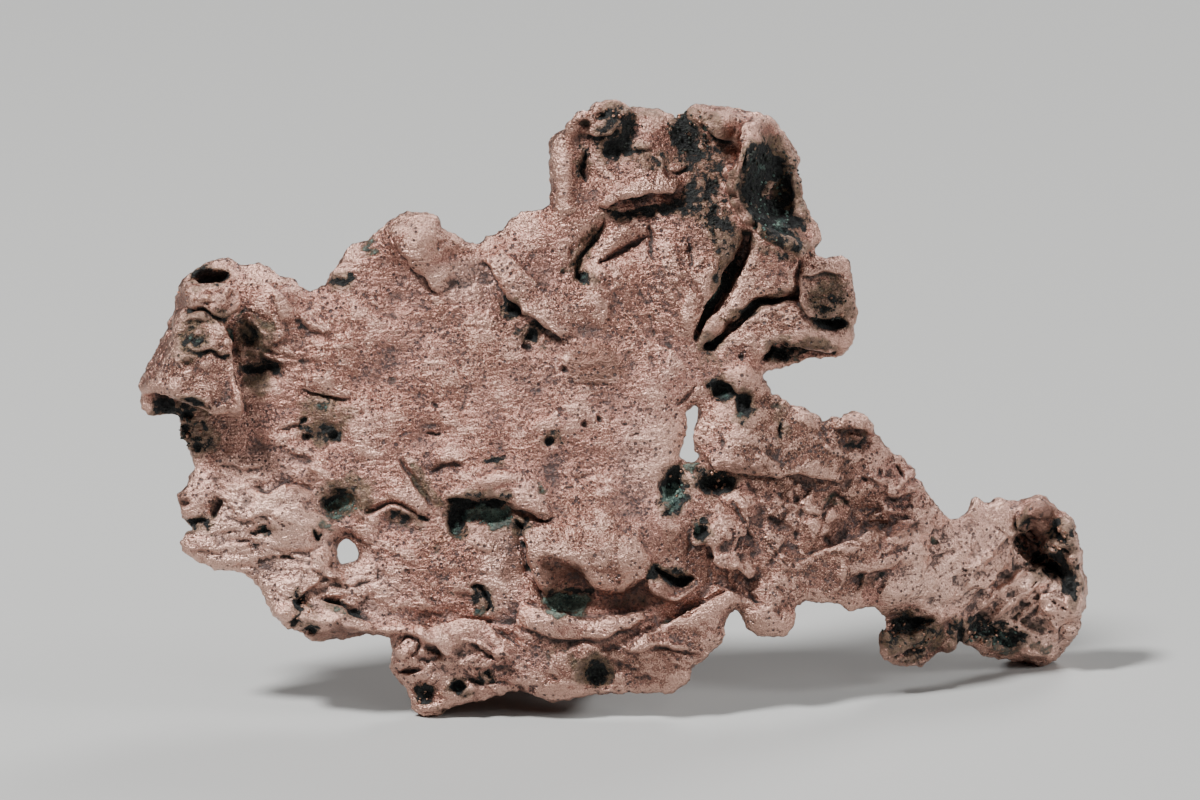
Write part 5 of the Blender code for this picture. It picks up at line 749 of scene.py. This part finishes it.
def fine_net():
    """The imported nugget's surface as an even net of fine quads, in millimetres."""
    skin = bpy.data.objects.new("copper_skin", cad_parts["copper_nugget"].data.copy())
    bpy.context.scene.collection.objects.link(skin)
    make_active(skin)
    bpy.ops.object.mode_set(mode="EDIT")
    bpy.ops.mesh.select_all(action="SELECT")
    bpy.ops.mesh.remove_doubles(threshold=1e-6)
    bpy.ops.object.mode_set(mode="OBJECT")
    resize(skin, 1 / MM)
    join_block(skin, "DIFFERENCE", SLOT_CUT)
    join_block(skin, "UNION", CURL_FLOOR)
    apply_modifier(skin, "REMESH", mode="VOXEL", voxel_size=NET_STEP)
    apply_modifier(skin, "SMOOTH", factor=0.5, iterations=NET_SOFTENING)
    return skin


def loose_lips(fields):
    """The small lips of each field, short crooked paths laid at random along its heading."""
    chance = np.random.default_rng(29)
    lips = []
    for u, v, half_width, half_height, heading, many, length, rise in fields:
        for _ in range(many):
            spot = np.array([u, v]) + chance.uniform(-1, 1, 2) * (half_width, half_height)
            angle = math.radians(heading + chance.normal(0, 20) + 180 * (chance.random() < 0.3))
            run = length * chance.uniform(0.7, 1.7)
            path = []
            for _ in range(5):
                path.append(tuple(spot))
                spot = spot + run / 4 * np.array([math.cos(angle), math.sin(angle)])
                angle += chance.normal(0, 0.16)
            high = 0.8 * rise * chance.uniform(0.4, 1.3)
            lips.append((path, high, chance.uniform(0.7, 1.8), 0.2 * high, 0.3 * high))
    return tuple(lips)


def small_pits(points):
    """Scattered small pits, some cells having one and some none."""
    depth = np.zeros(len(points))
    crowded = rough(points, 6.0, 53.0, 2)
    for i in np.nonzero(crowded > 0.0)[0]:
        distances, centres = noise.voronoi(Vector(points[i]) / SMALL_PIT_SPACING)
        size = 0.08 + 0.13 * noise.cell(centres[0] * 9.7)
        depth[i] = max(0.0, 1.0 - (distances[0] / max(size, 0.02)) ** 2)
    return depth


def plates(points, wobble, size, turn):
    """Height of flat plates at odd tilts, about a size across and longer along a turned line."""
    angle = math.radians(turn)
    u, v = (on_face(points)[:, :2] + 0.3 * wobble).T
    along_it = (u * math.cos(angle) + v * math.sin(angle)) / (size * PLATE_STRETCH)
    across_it = (v * math.cos(angle) - u * math.sin(angle)) / size
    height = np.zeros(len(points))
    for i, spot in enumerate(zip(along_it, across_it)):
        centre = noise.voronoi(Vector((*spot, turn)))[1][0]
        tilt = noise.cell_vector(centre * 5.3)
        rise = (spot[0] - centre.x) * (tilt.x - 0.5) + (spot[1] - centre.y) * (tilt.y - 0.5)
        height[i] = size * rise
    return height


def beaten(points, normals):
    """Height of the natural unevenness all over the skin."""
    rim = ease(1.3 - 2.0 * np.abs(on_face(normals - FACE_ORIGIN)[:, 2]))
    height = bumps(points, *UNDULATION) + bumps(points * RIPPLE_SQUEEZE, *RIPPLES)
    height -= SMALL_PIT_DEPTH * small_pits(points)
    height += rim * sum(bumps(points, *layer) for layer in RIM_BUMPS)
    return height


def planished(points, normals, edges):
    """The points with the broad faces drawn smooth and the rims left as they are."""
    smooth = spread(points, edges, PLANISHING)
    face_on = np.abs(on_face(spread(normals, edges, 12) - FACE_ORIGIN)[:, 2])
    broad = spread(ease((face_on - 0.45) / 0.35), edges, 6)
    step = ((smooth - points) * normals).sum(axis=1)
    return points + (broad * step)[:, None] * normals


def opened(points):
    """The points pushed outwards round the holes that go through."""
    face = on_face(points)[:, :2]
    for u, v, half_width, half_height, push in HOLES:
        r = oval(face, u, v, half_width, half_height)
        away = (face - (u, v)) / np.maximum(r, 0.3)[:, None]
        away *= (push * ease((2.2 - r) / 1.2))[:, None]
        points = points + upright(away[:, 0], away[:, 1], 0 * r)
    return points


def beat(skin):
    """Moves the net's points to give ledges, cracks, pits, knobs and unevenness."""
    mesh = skin.data
    points = vectors_of(mesh.vertices, "co")
    normals = vectors_of(mesh.vertex_normals, "vector")
    edges = edges_of(mesh)
    points = planished(points, normals, edges)
    face = on_face(points)
    calm = spread(normals, edges, 4)
    calm /= np.linalg.norm(calm, axis=1)[:, None]
    moved = points + beaten(points, normals)[:, None] * calm
    crumbs = 0.5 + rough(points, 0.45, 31.0, 2)
    wobble = np.stack([rough(points, 1.6, 41.0, 4), rough(points, 1.6, 47.0, 4)], axis=1)
    for turn, places in PLATES:
        share = spread(patched(face[:, :2], places), edges, 8)
        tilted = np.nonzero(share > 0.01)[0]
        height = np.zeros(len(points))
        for size, tilt in PLATE_LAYERS:
            height[tilted] += tilt * plates(points[tilted], wobble[tilted], size, turn)
        moved += (share * spread(height, edges, 1))[:, None] * calm
    sides = (
        (1, LIPS + loose_lips(FIELDS), CREASES, PITS, KNOBS, CRUST_AND_POCKET_SHADE),
        (-1, BACK_LIPS + loose_lips(BACK_FIELDS), BACK_CREASES, BACK_PITS, (), ()),
    )
    for towards, lips, creases, pits, knobs, crusts in sides:
        shown = seen_from(face, normals, edges, towards)
        index = np.nonzero(shown > 0.02)[0]
        spots = face[index, :2] + 0.2 * wobble[index]
        height, shift = stroked(spots, lips, creases, pits, knobs)
        height += CRUST_RISE * patched(spots, crusts) * crumbs[index]
        height *= shown[index]
        shift *= shown[index][:, None]
        out = upright(0 * height, 0 * height, 0 * height + towards)
        push = 0.5 * (calm[index] + out)
        moved[index] += height[:, None] * push + upright(shift[:, 0], shift[:, 1], 0 * height)
    moved = opened(moved)
    mesh.vertices.foreach_set("co", moved.ravel())
    mesh.update()


def paint_zones(skin):
    """Stores on each point its crust, green salts, tarnish, red-brown oxide with painted shade,
    paler or darker tone with painted light and shade, crease depth and hollowness.

    Where the front doesn't show, crust, salts and tarnish follow the hollows and broad blotches,
    and the red-brown painted shade follows the hollows.
    """
    mesh = skin.data
    points = vectors_of(mesh.vertices, "co")
    normals = vectors_of(mesh.vertex_normals, "vector")
    edges = edges_of(mesh)
    face = on_face(points)
    front = seen_from(face, normals, edges, 1)
    fine = ((spread(points, edges, 5) - points) * normals).sum(axis=1)
    broad = ((spread(points, edges, 45) - points) * normals).sum(axis=1)
    hollow = np.clip(fine / 0.05, -1, 1) * 0.45 + np.clip(broad / 0.3, -1, 1) * 0.55
    wobble = np.stack([rough(points, 1.2, 61.0, 4), rough(points, 1.2, 67.0, 4)], axis=1)
    spots = face[:, :2] + 0.6 * wobble
    blotch = rough(points, 5.0, 71.0)
    green = rough(points, 3.0, 83.0)
    off_front = 1.0 - front
    zones = {
        "crust": (front * patched(spots, CRUST_AND_POCKET_SHADE)
                  + off_front * 0.62 * ease(1.4 * blotch + 0.9 * hollow - 0.35)),
        "verdigris": (front * patched(spots, VERDIGRIS)
                      + off_front * ease(1.6 * green + hollow - 0.75)),
        "olive": front * patched(spots, OLIVE) + off_front * ease(1.5 * rough(points, 6.0, 97.0)),
        "russet_and_shade": front * patched(spots, RUSSET_AND_SHADE) + off_front * 0.6 * ease(hollow),
        # tone: above 0.5 paler copper with painted light, below it darker copper with painted shade
        "tone": 0.5 + 0.5 * (patched(spots, PALE_AND_PAINTED_LIGHT) - patched(spots, DULL_AND_PAINTED_SHADE)) * front,
        "hollow": 0.5 + 0.5 * hollow,
        "crack_dirt_and_shade": np.clip(fine / 0.14, 0, 1),
    }
    for name, values in zones.items():
        attribute = mesh.attributes.new(name, "FLOAT", "POINT")
        attribute.data.foreach_set("value", np.clip(values, 0, 1).astype(np.float32))


def hold_in(piece):
    """Keeps the piece above the floor and near the solid's own depth."""
    points = vectors_of(piece.data.vertices, "co")
    points[:, 2] = np.maximum(points[:, 2], 0.0)
    deep = points[:, 1]
    past = np.maximum(np.abs(deep) - HALF_DEPTH, 0.0)
    points[:, 1] = deep - np.sign(deep) * past * PROUD_SHARE
    piece.data.vertices.foreach_set("co", points.ravel())
    piece.data.update()


def shade_smooth(piece):
    make_active(piece)
    bpy.ops.object.shade_smooth()


# ------------------------------------------------------------------------------- materials


TONES = {  # red, green and blue from 0 to 255
    "copper": (158, 112, 100), "clean copper": (178, 131, 119), "ripple shade": (122, 85, 77),
    "pale copper and painted light": (232, 190, 174), "dull copper and painted shade": (106, 76, 65), "painted edge highlight": (234, 190, 172),
    "lit sand": (232, 192, 168), "shaded sand": (84, 58, 52), "brown oxide and painted hollow shade": (78, 54, 49),
    "russet_and_shade": (94, 59, 46), "speck": (46, 34, 38), "crack_dirt_and_shade": (42, 31, 27), "tarnish": (96, 82, 58),
    "dark tarnish": (58, 50, 36), "black crust": (9, 10, 11), "grey crust": (36, 39, 37),
    "salts": (50, 72, 68), "pale salts": (112, 134, 122), "salts shade": (28, 42, 38),
    "copper grain": (140, 102, 86), "bright grain": (196, 152, 130), "green grain": (44, 66, 62),
    "pale green grain": (108, 130, 118), "black grain": (10, 12, 12), "grey grain": (44, 50, 42),
}


def paint(tone):
    """Linear colour of a named tone."""
    shares = [part / 255.0 for part in TONES[tone]]
    return (*(c / 12.92 if c < 0.0404 else ((c + 0.055) / 1.055) ** 2.4 for c in shares), 1.0)


class Wire:
    """A shader node's output, so that sums on it read as sums."""

    def __init__(self, shading, socket):
        self.shading = shading
        self.socket = socket

    def maths(self, operation, first, second):
        return self.shading.node("ShaderNodeMath", {"operation": operation}, {0: first, 1: second})

    def __add__(self, other):
        return self.maths("ADD", self, other)

    def __radd__(self, other):
        return self.maths("ADD", other, self)

    def __sub__(self, other):
        return self.maths("SUBTRACT", self, other)

    def __rsub__(self, other):
        return self.maths("SUBTRACT", other, self)

    def __mul__(self, other):
        return self.maths("MULTIPLY", self, other)

    def __rmul__(self, other):
        return self.maths("MULTIPLY", other, self)

    def or_more(self, other):
        """The larger of the two."""
        return self.maths("MAXIMUM", self, other)

    def between(self, low, high):
        """0 at low, 1 at high and smooth between."""
        settings = {"interpolation_type": "SMOOTHSTEP"}
        sockets = {"Value": self, "From Min": low, "From Max": high}
        return self.shading.node("ShaderNodeMapRange", settings, sockets)


class Shading:
    """One material's nodes."""

    def __init__(self, name):
        self.material = bpy.data.materials.new(name)
        self.material.use_nodes = True
        self.tree = self.material.node_tree
        self.surface = self.tree.nodes["Principled BSDF"]

    def node(self, kind, settings, sockets, output=0):
        """One output of a new node, given its settings first and then its sockets."""
        made = self.tree.nodes.new(kind)
        for name, value in settings.items():
            setattr(made, name, value)
        for name, value in sockets.items():
            self.feed(made.inputs[name], value)
        return Wire(self, made.outputs[output])

    def feed(self, socket, value):
        if isinstance(value, Wire):
            self.tree.links.new(value.socket, socket)
        else:
            socket.default_value = value

    def place(self):
        return self.node("ShaderNodeTexCoord", {}, {}, "Object")

    def zone(self, name):
        return self.node("ShaderNodeAttribute", {"attribute_name": name}, {}, "Fac")

    def grain(self, size, detail=3.0, roughness=0.55, squeeze=(1.0, 1.0, 1.0)):
        """Noise around 0.5 with bumps of a size in millimetres, longer where squeeze is under 1."""
        sockets = {0: self.place(), 1: squeeze}
        place = self.node("ShaderNodeVectorMath", {"operation": "MULTIPLY"}, sockets)
        sockets = {
            "Vector": place, "Scale": 1 / (size * MM), "Detail": detail, "Roughness": roughness,
        }
        return self.node("ShaderNodeTexNoise", {}, sockets)

    def cells(self, size):
        """Distance from scattered points a size in millimetres apart, 0 at each point."""
        sockets = {"Vector": self.place(), "Scale": 1 / (size * MM)}
        return self.node("ShaderNodeTexVoronoi", {}, sockets)

    def mix(self, share, first, second):
        settings = {"data_type": "RGBA"}
        return self.node("ShaderNodeMix", settings, {0: share, 6: first, 7: second}, 2)

    def finish(self, **sockets):
        for name, value in sockets.items():
            self.feed(self.surface.inputs[name.replace("_", " ")], value)
        return self.material


def native_copper():
    """Satin sandy copper, brown and painted darker in its hollows, with painted edge highlights,
    tarnish, green salts and black crust.
    """
    look = Shading("native copper")
    sand = look.grain(0.12, 2.0, 0.6)
    grit = look.grain(0.3, 2.0)
    medium = look.grain(0.8)
    broad = look.grain(4.5)
    ripple = look.grain(0.5, 3.0, 0.6, (0.4, 1.0, 1.0))
    hollow = look.zone("hollow")
    crack_dirt_and_shade = look.zone("crack_dirt_and_shade")

    # the metal's own colour, with painted light and shade mixed in
    tone = look.zone("tone")
    copper = look.mix(broad.between(0.35, 0.65), paint("copper"), paint("clean copper"))
    # painted shade in the troughs of the ripples that also bump the surface
    copper = look.mix((1.0 - ripple).between(0.5, 0.68) * 0.4, copper, paint("ripple shade"))
    # paler copper, partly painted light where the lamps leave faces dim
    copper = look.mix((tone - 0.5) * 1.9, copper, paint("pale copper and painted light"))
    # darker, browner copper, partly painted shade under rims and overhangs
    copper = look.mix((0.5 - tone) * 1.5, copper, paint("dull copper and painted shade"))
    # painted highlight on ridges and convex edges
    edge_highlight = (1.0 - hollow + 0.8 * (sand - 0.5)).between(0.56, 0.86)
    copper = look.mix(edge_highlight * 0.5, copper, paint("painted edge highlight"))
    # painted glints and painted shade on the fine sand grain, over the grain's own light and dark
    # tones
    copper = look.mix(sand.between(0.5, 0.66) * 0.4, copper, paint("lit sand"))
    copper = look.mix((1.0 - sand).between(0.5, 0.66) * 0.36, copper, paint("shaded sand"))
    # brown oxide in the hollows, darkened further by painted shade
    browned_and_shaded = (hollow + 0.25 * (grit - 0.5)).between(0.58, 0.92)
    copper = look.mix(browned_and_shaded * 0.58, copper, paint("brown oxide and painted hollow shade"))
    # red-brown oxide, and painted shade with a red cast in recesses and under overhangs
    russet_and_shade = (look.zone("russet_and_shade") + 0.6 * (medium - 0.5)).between(0.25, 0.8)
    copper = look.mix(russet_and_shade * 0.72, copper, paint("russet_and_shade"))

    # dark specks and dots, and dark dirt with painted shade in the finest creases
    shade = look.grain(2.6) - 0.5
    specks = (look.grain(0.26, 2.0, 0.6) + 0.35 * shade + 0.2 * (hollow - 0.5)).between(0.58, 0.65)
    small = 1.0 - look.cells(0.5).between(0.14, 0.3)
    large = 1.0 - look.cells(1.0).between(0.1, 0.19)
    dots = small.or_more(large) * look.grain(2.4).between(0.4, 0.56)
    specks = dots.or_more(specks * 0.8)
    copper = look.mix(specks * 0.85, copper, paint("speck"))
    # dark dirt and painted shade in the finest creases
    copper = look.mix(crack_dirt_and_shade.between(0.25, 0.85) * 0.85, copper, paint("crack_dirt_and_shade"))

    # tarnish, black crust and green salts, each with a ragged edge
    ragged = look.grain(0.9, 8.0, 0.75) - 0.5
    crust_and_pocket_shade = look.zone("crust")
    salted = look.zone("verdigris")
    halo = crust_and_pocket_shade.or_more(salted) + 1.2 * ragged
    olive = look.zone("olive") + 1.4 * ragged + 0.25 * (hollow - 0.5)
    olive = olive.between(0.4, 0.85).or_more(halo.between(0.12, 0.6) * 0.9)
    # black crust, which in the deepest pockets and crevices also stands for their painted shade
    crust = (crust_and_pocket_shade + 2.4 * ragged + 0.6 * (hollow - 0.5)).between(0.48, 0.62)
    green = (salted + 1.8 * ragged + 0.7 * (grit - 0.5)).between(0.42, 0.8)
    tarnish = look.mix(grit.between(0.4, 0.6), paint("tarnish"), paint("dark tarnish"))
    colour = look.mix(olive * 0.75, copper, tarnish)
    black = look.mix(grit.between(0.4, 0.68), paint("black crust"), paint("grey crust"))
    colour = look.mix(crust, colour, black)
    salts = look.mix(medium.between(0.35, 0.65), paint("salts"), paint("pale salts"))
    salts = look.mix(sand.between(0.5, 0.7) * 0.8, salts, paint("salts shade"))
    colour = look.mix(green * 0.8, colour, salts)

    # only bare copper shines
    bare = (1.0 - crust) * (1.0 - green)
    metal = bare * (1.0 - 0.5 * olive) * (1.0 - 0.8 * specks) * (1.0 - 0.65 * browned_and_shaded)
    metal = metal * (1.0 - 0.3 * russet_and_shade) * (1.0 - 0.8 * crack_dirt_and_shade.between(0.2, 0.8))
    roughness = 0.34 + 0.2 * (sand - 0.5) + 0.15 * olive + 0.12 * browned_and_shaded
    roughness = roughness + 0.35 * (1.0 - bare)
    # relief too fine for the mesh
    relief = 0.9 * sand + 1.0 * grit + 2.2 * ripple - 1.2 * specks
    relief = relief + 2.0 * (1.0 - bare) * look.grain(0.3, 2.0)
    sockets = {"Height": relief, "Strength": 1.0, "Distance": 0.11 * MM}
    bump = look.node("ShaderNodeBump", {}, sockets)
    return look.finish(Base_Color=colour, Metallic=metal, Roughness=roughness, Normal=bump)


def mineral(name, dark, light):
    """Dull grains of one mineral, uneven in tone."""
    look = Shading(name)
    tone = look.grain(0.3).between(0.3, 0.7)
    colour = look.mix(tone, paint(dark), paint(light))
    return look.finish(Base_Color=colour, Roughness=0.8)


def bare_grain():
    """Bright little copper grains."""
    look = Shading("copper grains")
    tone = look.grain(0.5).between(0.35, 0.65)
    colour = look.mix(tone, paint("copper grain"), paint("bright grain"))
    return look.finish(Base_Color=colour, Metallic=0.9, Roughness=0.4)


# ---------------------------------------------------------------------------------- grains


def pebble(seed):
    """Corners and triangles of one small crooked grain about 1 across."""
    bpy.ops.object.select_all(action="DESELECT")
    bpy.ops.mesh.primitive_ico_sphere_add(subdivisions=2, radius=0.5)
    piece = bpy.context.object
    corners = vectors_of(piece.data.vertices, "co")
    faces = np.array([tuple(face.vertices) for face in piece.data.polygons])
    bpy.data.objects.remove(piece)
    corners *= 1.0 + 0.45 * rough(corners, 0.5, seed)[:, None]
    return corners * (1.0, 0.8, 0.7), faces


def strewn(kind, skin, material):
    """All the grains of one kind, half sunk in the skin at their places on the front."""
    mesh = skin.data
    points = vectors_of(mesh.vertices, "co")
    normals = vectors_of(mesh.vertex_normals, "vector")
    face = on_face(points)
    open_front = foremost(face, 1) & (on_face(normals - FACE_ORIGIN)[:, 2] > 0.1)
    shapes = [pebble(seed) for seed in (3.1, 7.7, 12.9)]
    chance = np.random.default_rng(len(kind))
    corners = []
    faces = []
    count = 0
    for name, u, v, half_width, half_height, many, size in GRAINS:
        within = open_front & (oval(face[:, :2], u, v, half_width, half_height) < 1)
        spots = np.nonzero(within)[0]
        if name != kind or not len(spots):
            continue
        for spot in chance.choice(spots, many):
            shape, triangles = shapes[chance.integers(len(shapes))]
            turn = np.array(Matrix.Rotation(chance.uniform(0, 6.28), 3, chance.normal(size=3)))
            across = size * chance.uniform(0.6, 1.7)
            sunk = points[spot] + normals[spot] * across * chance.uniform(-0.1, 0.25)
            corners.append(shape @ turn.T * across + sunk)
            faces.append(triangles + count)
            count += len(shape)
    made = bpy.data.meshes.new(kind + "_grains")
    made.from_pydata(np.concatenate(corners).tolist(), [], np.concatenate(faces).tolist())
    piece = bpy.data.objects.new(kind + "_grains", made)
    bpy.context.scene.collection.objects.link(piece)
    made.materials.append(material)
    hold_in(piece)
    resize(piece, MM)
    shade_smooth(piece)
    return piece


# ----------------------------------------------------------------------------------- scene


def build_skin():
    skin = fine_net()
    beat(skin)
    skin.data.calc_loop_triangles()
    share = SKIN_TRIANGLES / len(skin.data.loop_triangles)
    apply_modifier(skin, "DECIMATE", ratio=min(1.0, share), use_collapse_triangulate=True)
    hold_in(skin)
    paint_zones(skin)
    skin.data.materials.clear()
    skin.data.materials.append(native_copper())
    return skin


FLOOR_GREY = (0.42, 0.42, 0.41, 1.0)
SKY = (0.60, 0.62, 0.65, 1.0)
SKY_STRENGTH = 0.045
LIGHTS = (  # name, place and size in metres, power in watts
    ("key", (-0.30, -0.16, 0.58), 0.12, 8.2),
    ("fill", (0.30, -0.50, 0.46), 0.30, 0.6),
    ("side", (0.66, -0.12, 0.26), 0.18, 2.4),
    ("back", (0.25, 0.50, 0.50), 0.30, 3.0),
)
LIT_POINT = (0.0, 0.0, 0.022)


def soft_light(name, place, size, power):
    lamp = bpy.data.lights.new(name, "AREA")
    lamp.shape = "DISK"
    lamp.size = size
    lamp.energy = power
    light = bpy.data.objects.new(name, lamp)
    light.location = place
    light.rotation_euler = (Vector(place) - Vector(LIT_POINT)).to_track_quat("Z", "Y").to_euler()
    bpy.context.scene.collection.objects.link(light)


def studio():
    """Pale floor, soft lights and the camera."""
    bpy.ops.object.select_all(action="DESELECT")
    bpy.ops.mesh.primitive_plane_add(size=12.0)
    floor = bpy.context.object
    floor.name = "floor"
    ground = Shading("pale floor")
    floor.data.materials.append(ground.finish(Base_Color=FLOOR_GREY, Roughness=0.85))

    for light in LIGHTS:
        soft_light(*light)

    world = bpy.data.worlds.new("studio")
    world.use_nodes = True
    sky = world.node_tree.nodes["Background"].inputs
    sky["Color"].default_value = SKY
    sky["Strength"].default_value = SKY_STRENGTH
    bpy.context.scene.world = world

    camera = bpy.data.objects.new("camera", bpy.data.cameras.new("camera"))
    bpy.context.scene.collection.objects.link(camera)
    camera.data.sensor_width = 36.0
    camera.data.lens = camera.data.sensor_width / VIEW_WIDTH
    across, up = np.array(VIEW_MIDDLE)[:, None]
    aim = Vector(upright(across, up, 0 * up)[0] - FACE_ORIGIN) * MM
    back = Vector((0.0, -math.cos(FACE_LEAN), math.sin(FACE_LEAN)))
    camera.location = aim + back
    camera.rotation_euler = back.to_track_quat("Z", "Y").to_euler()
    bpy.context.scene.camera = camera


skin = build_skin()
pieces = [
    strewn("salts", skin, mineral("green salts", "green grain", "pale green grain")),
    strewn("crust", skin, mineral("black crust", "black grain", "grey grain")),
    strewn("copper", skin, bare_grain()),
]
resize(skin, MM)
shade_smooth(skin)
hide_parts("copper_nugget")
for piece in [skin] + pieces:
    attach(piece, "root")
studio()
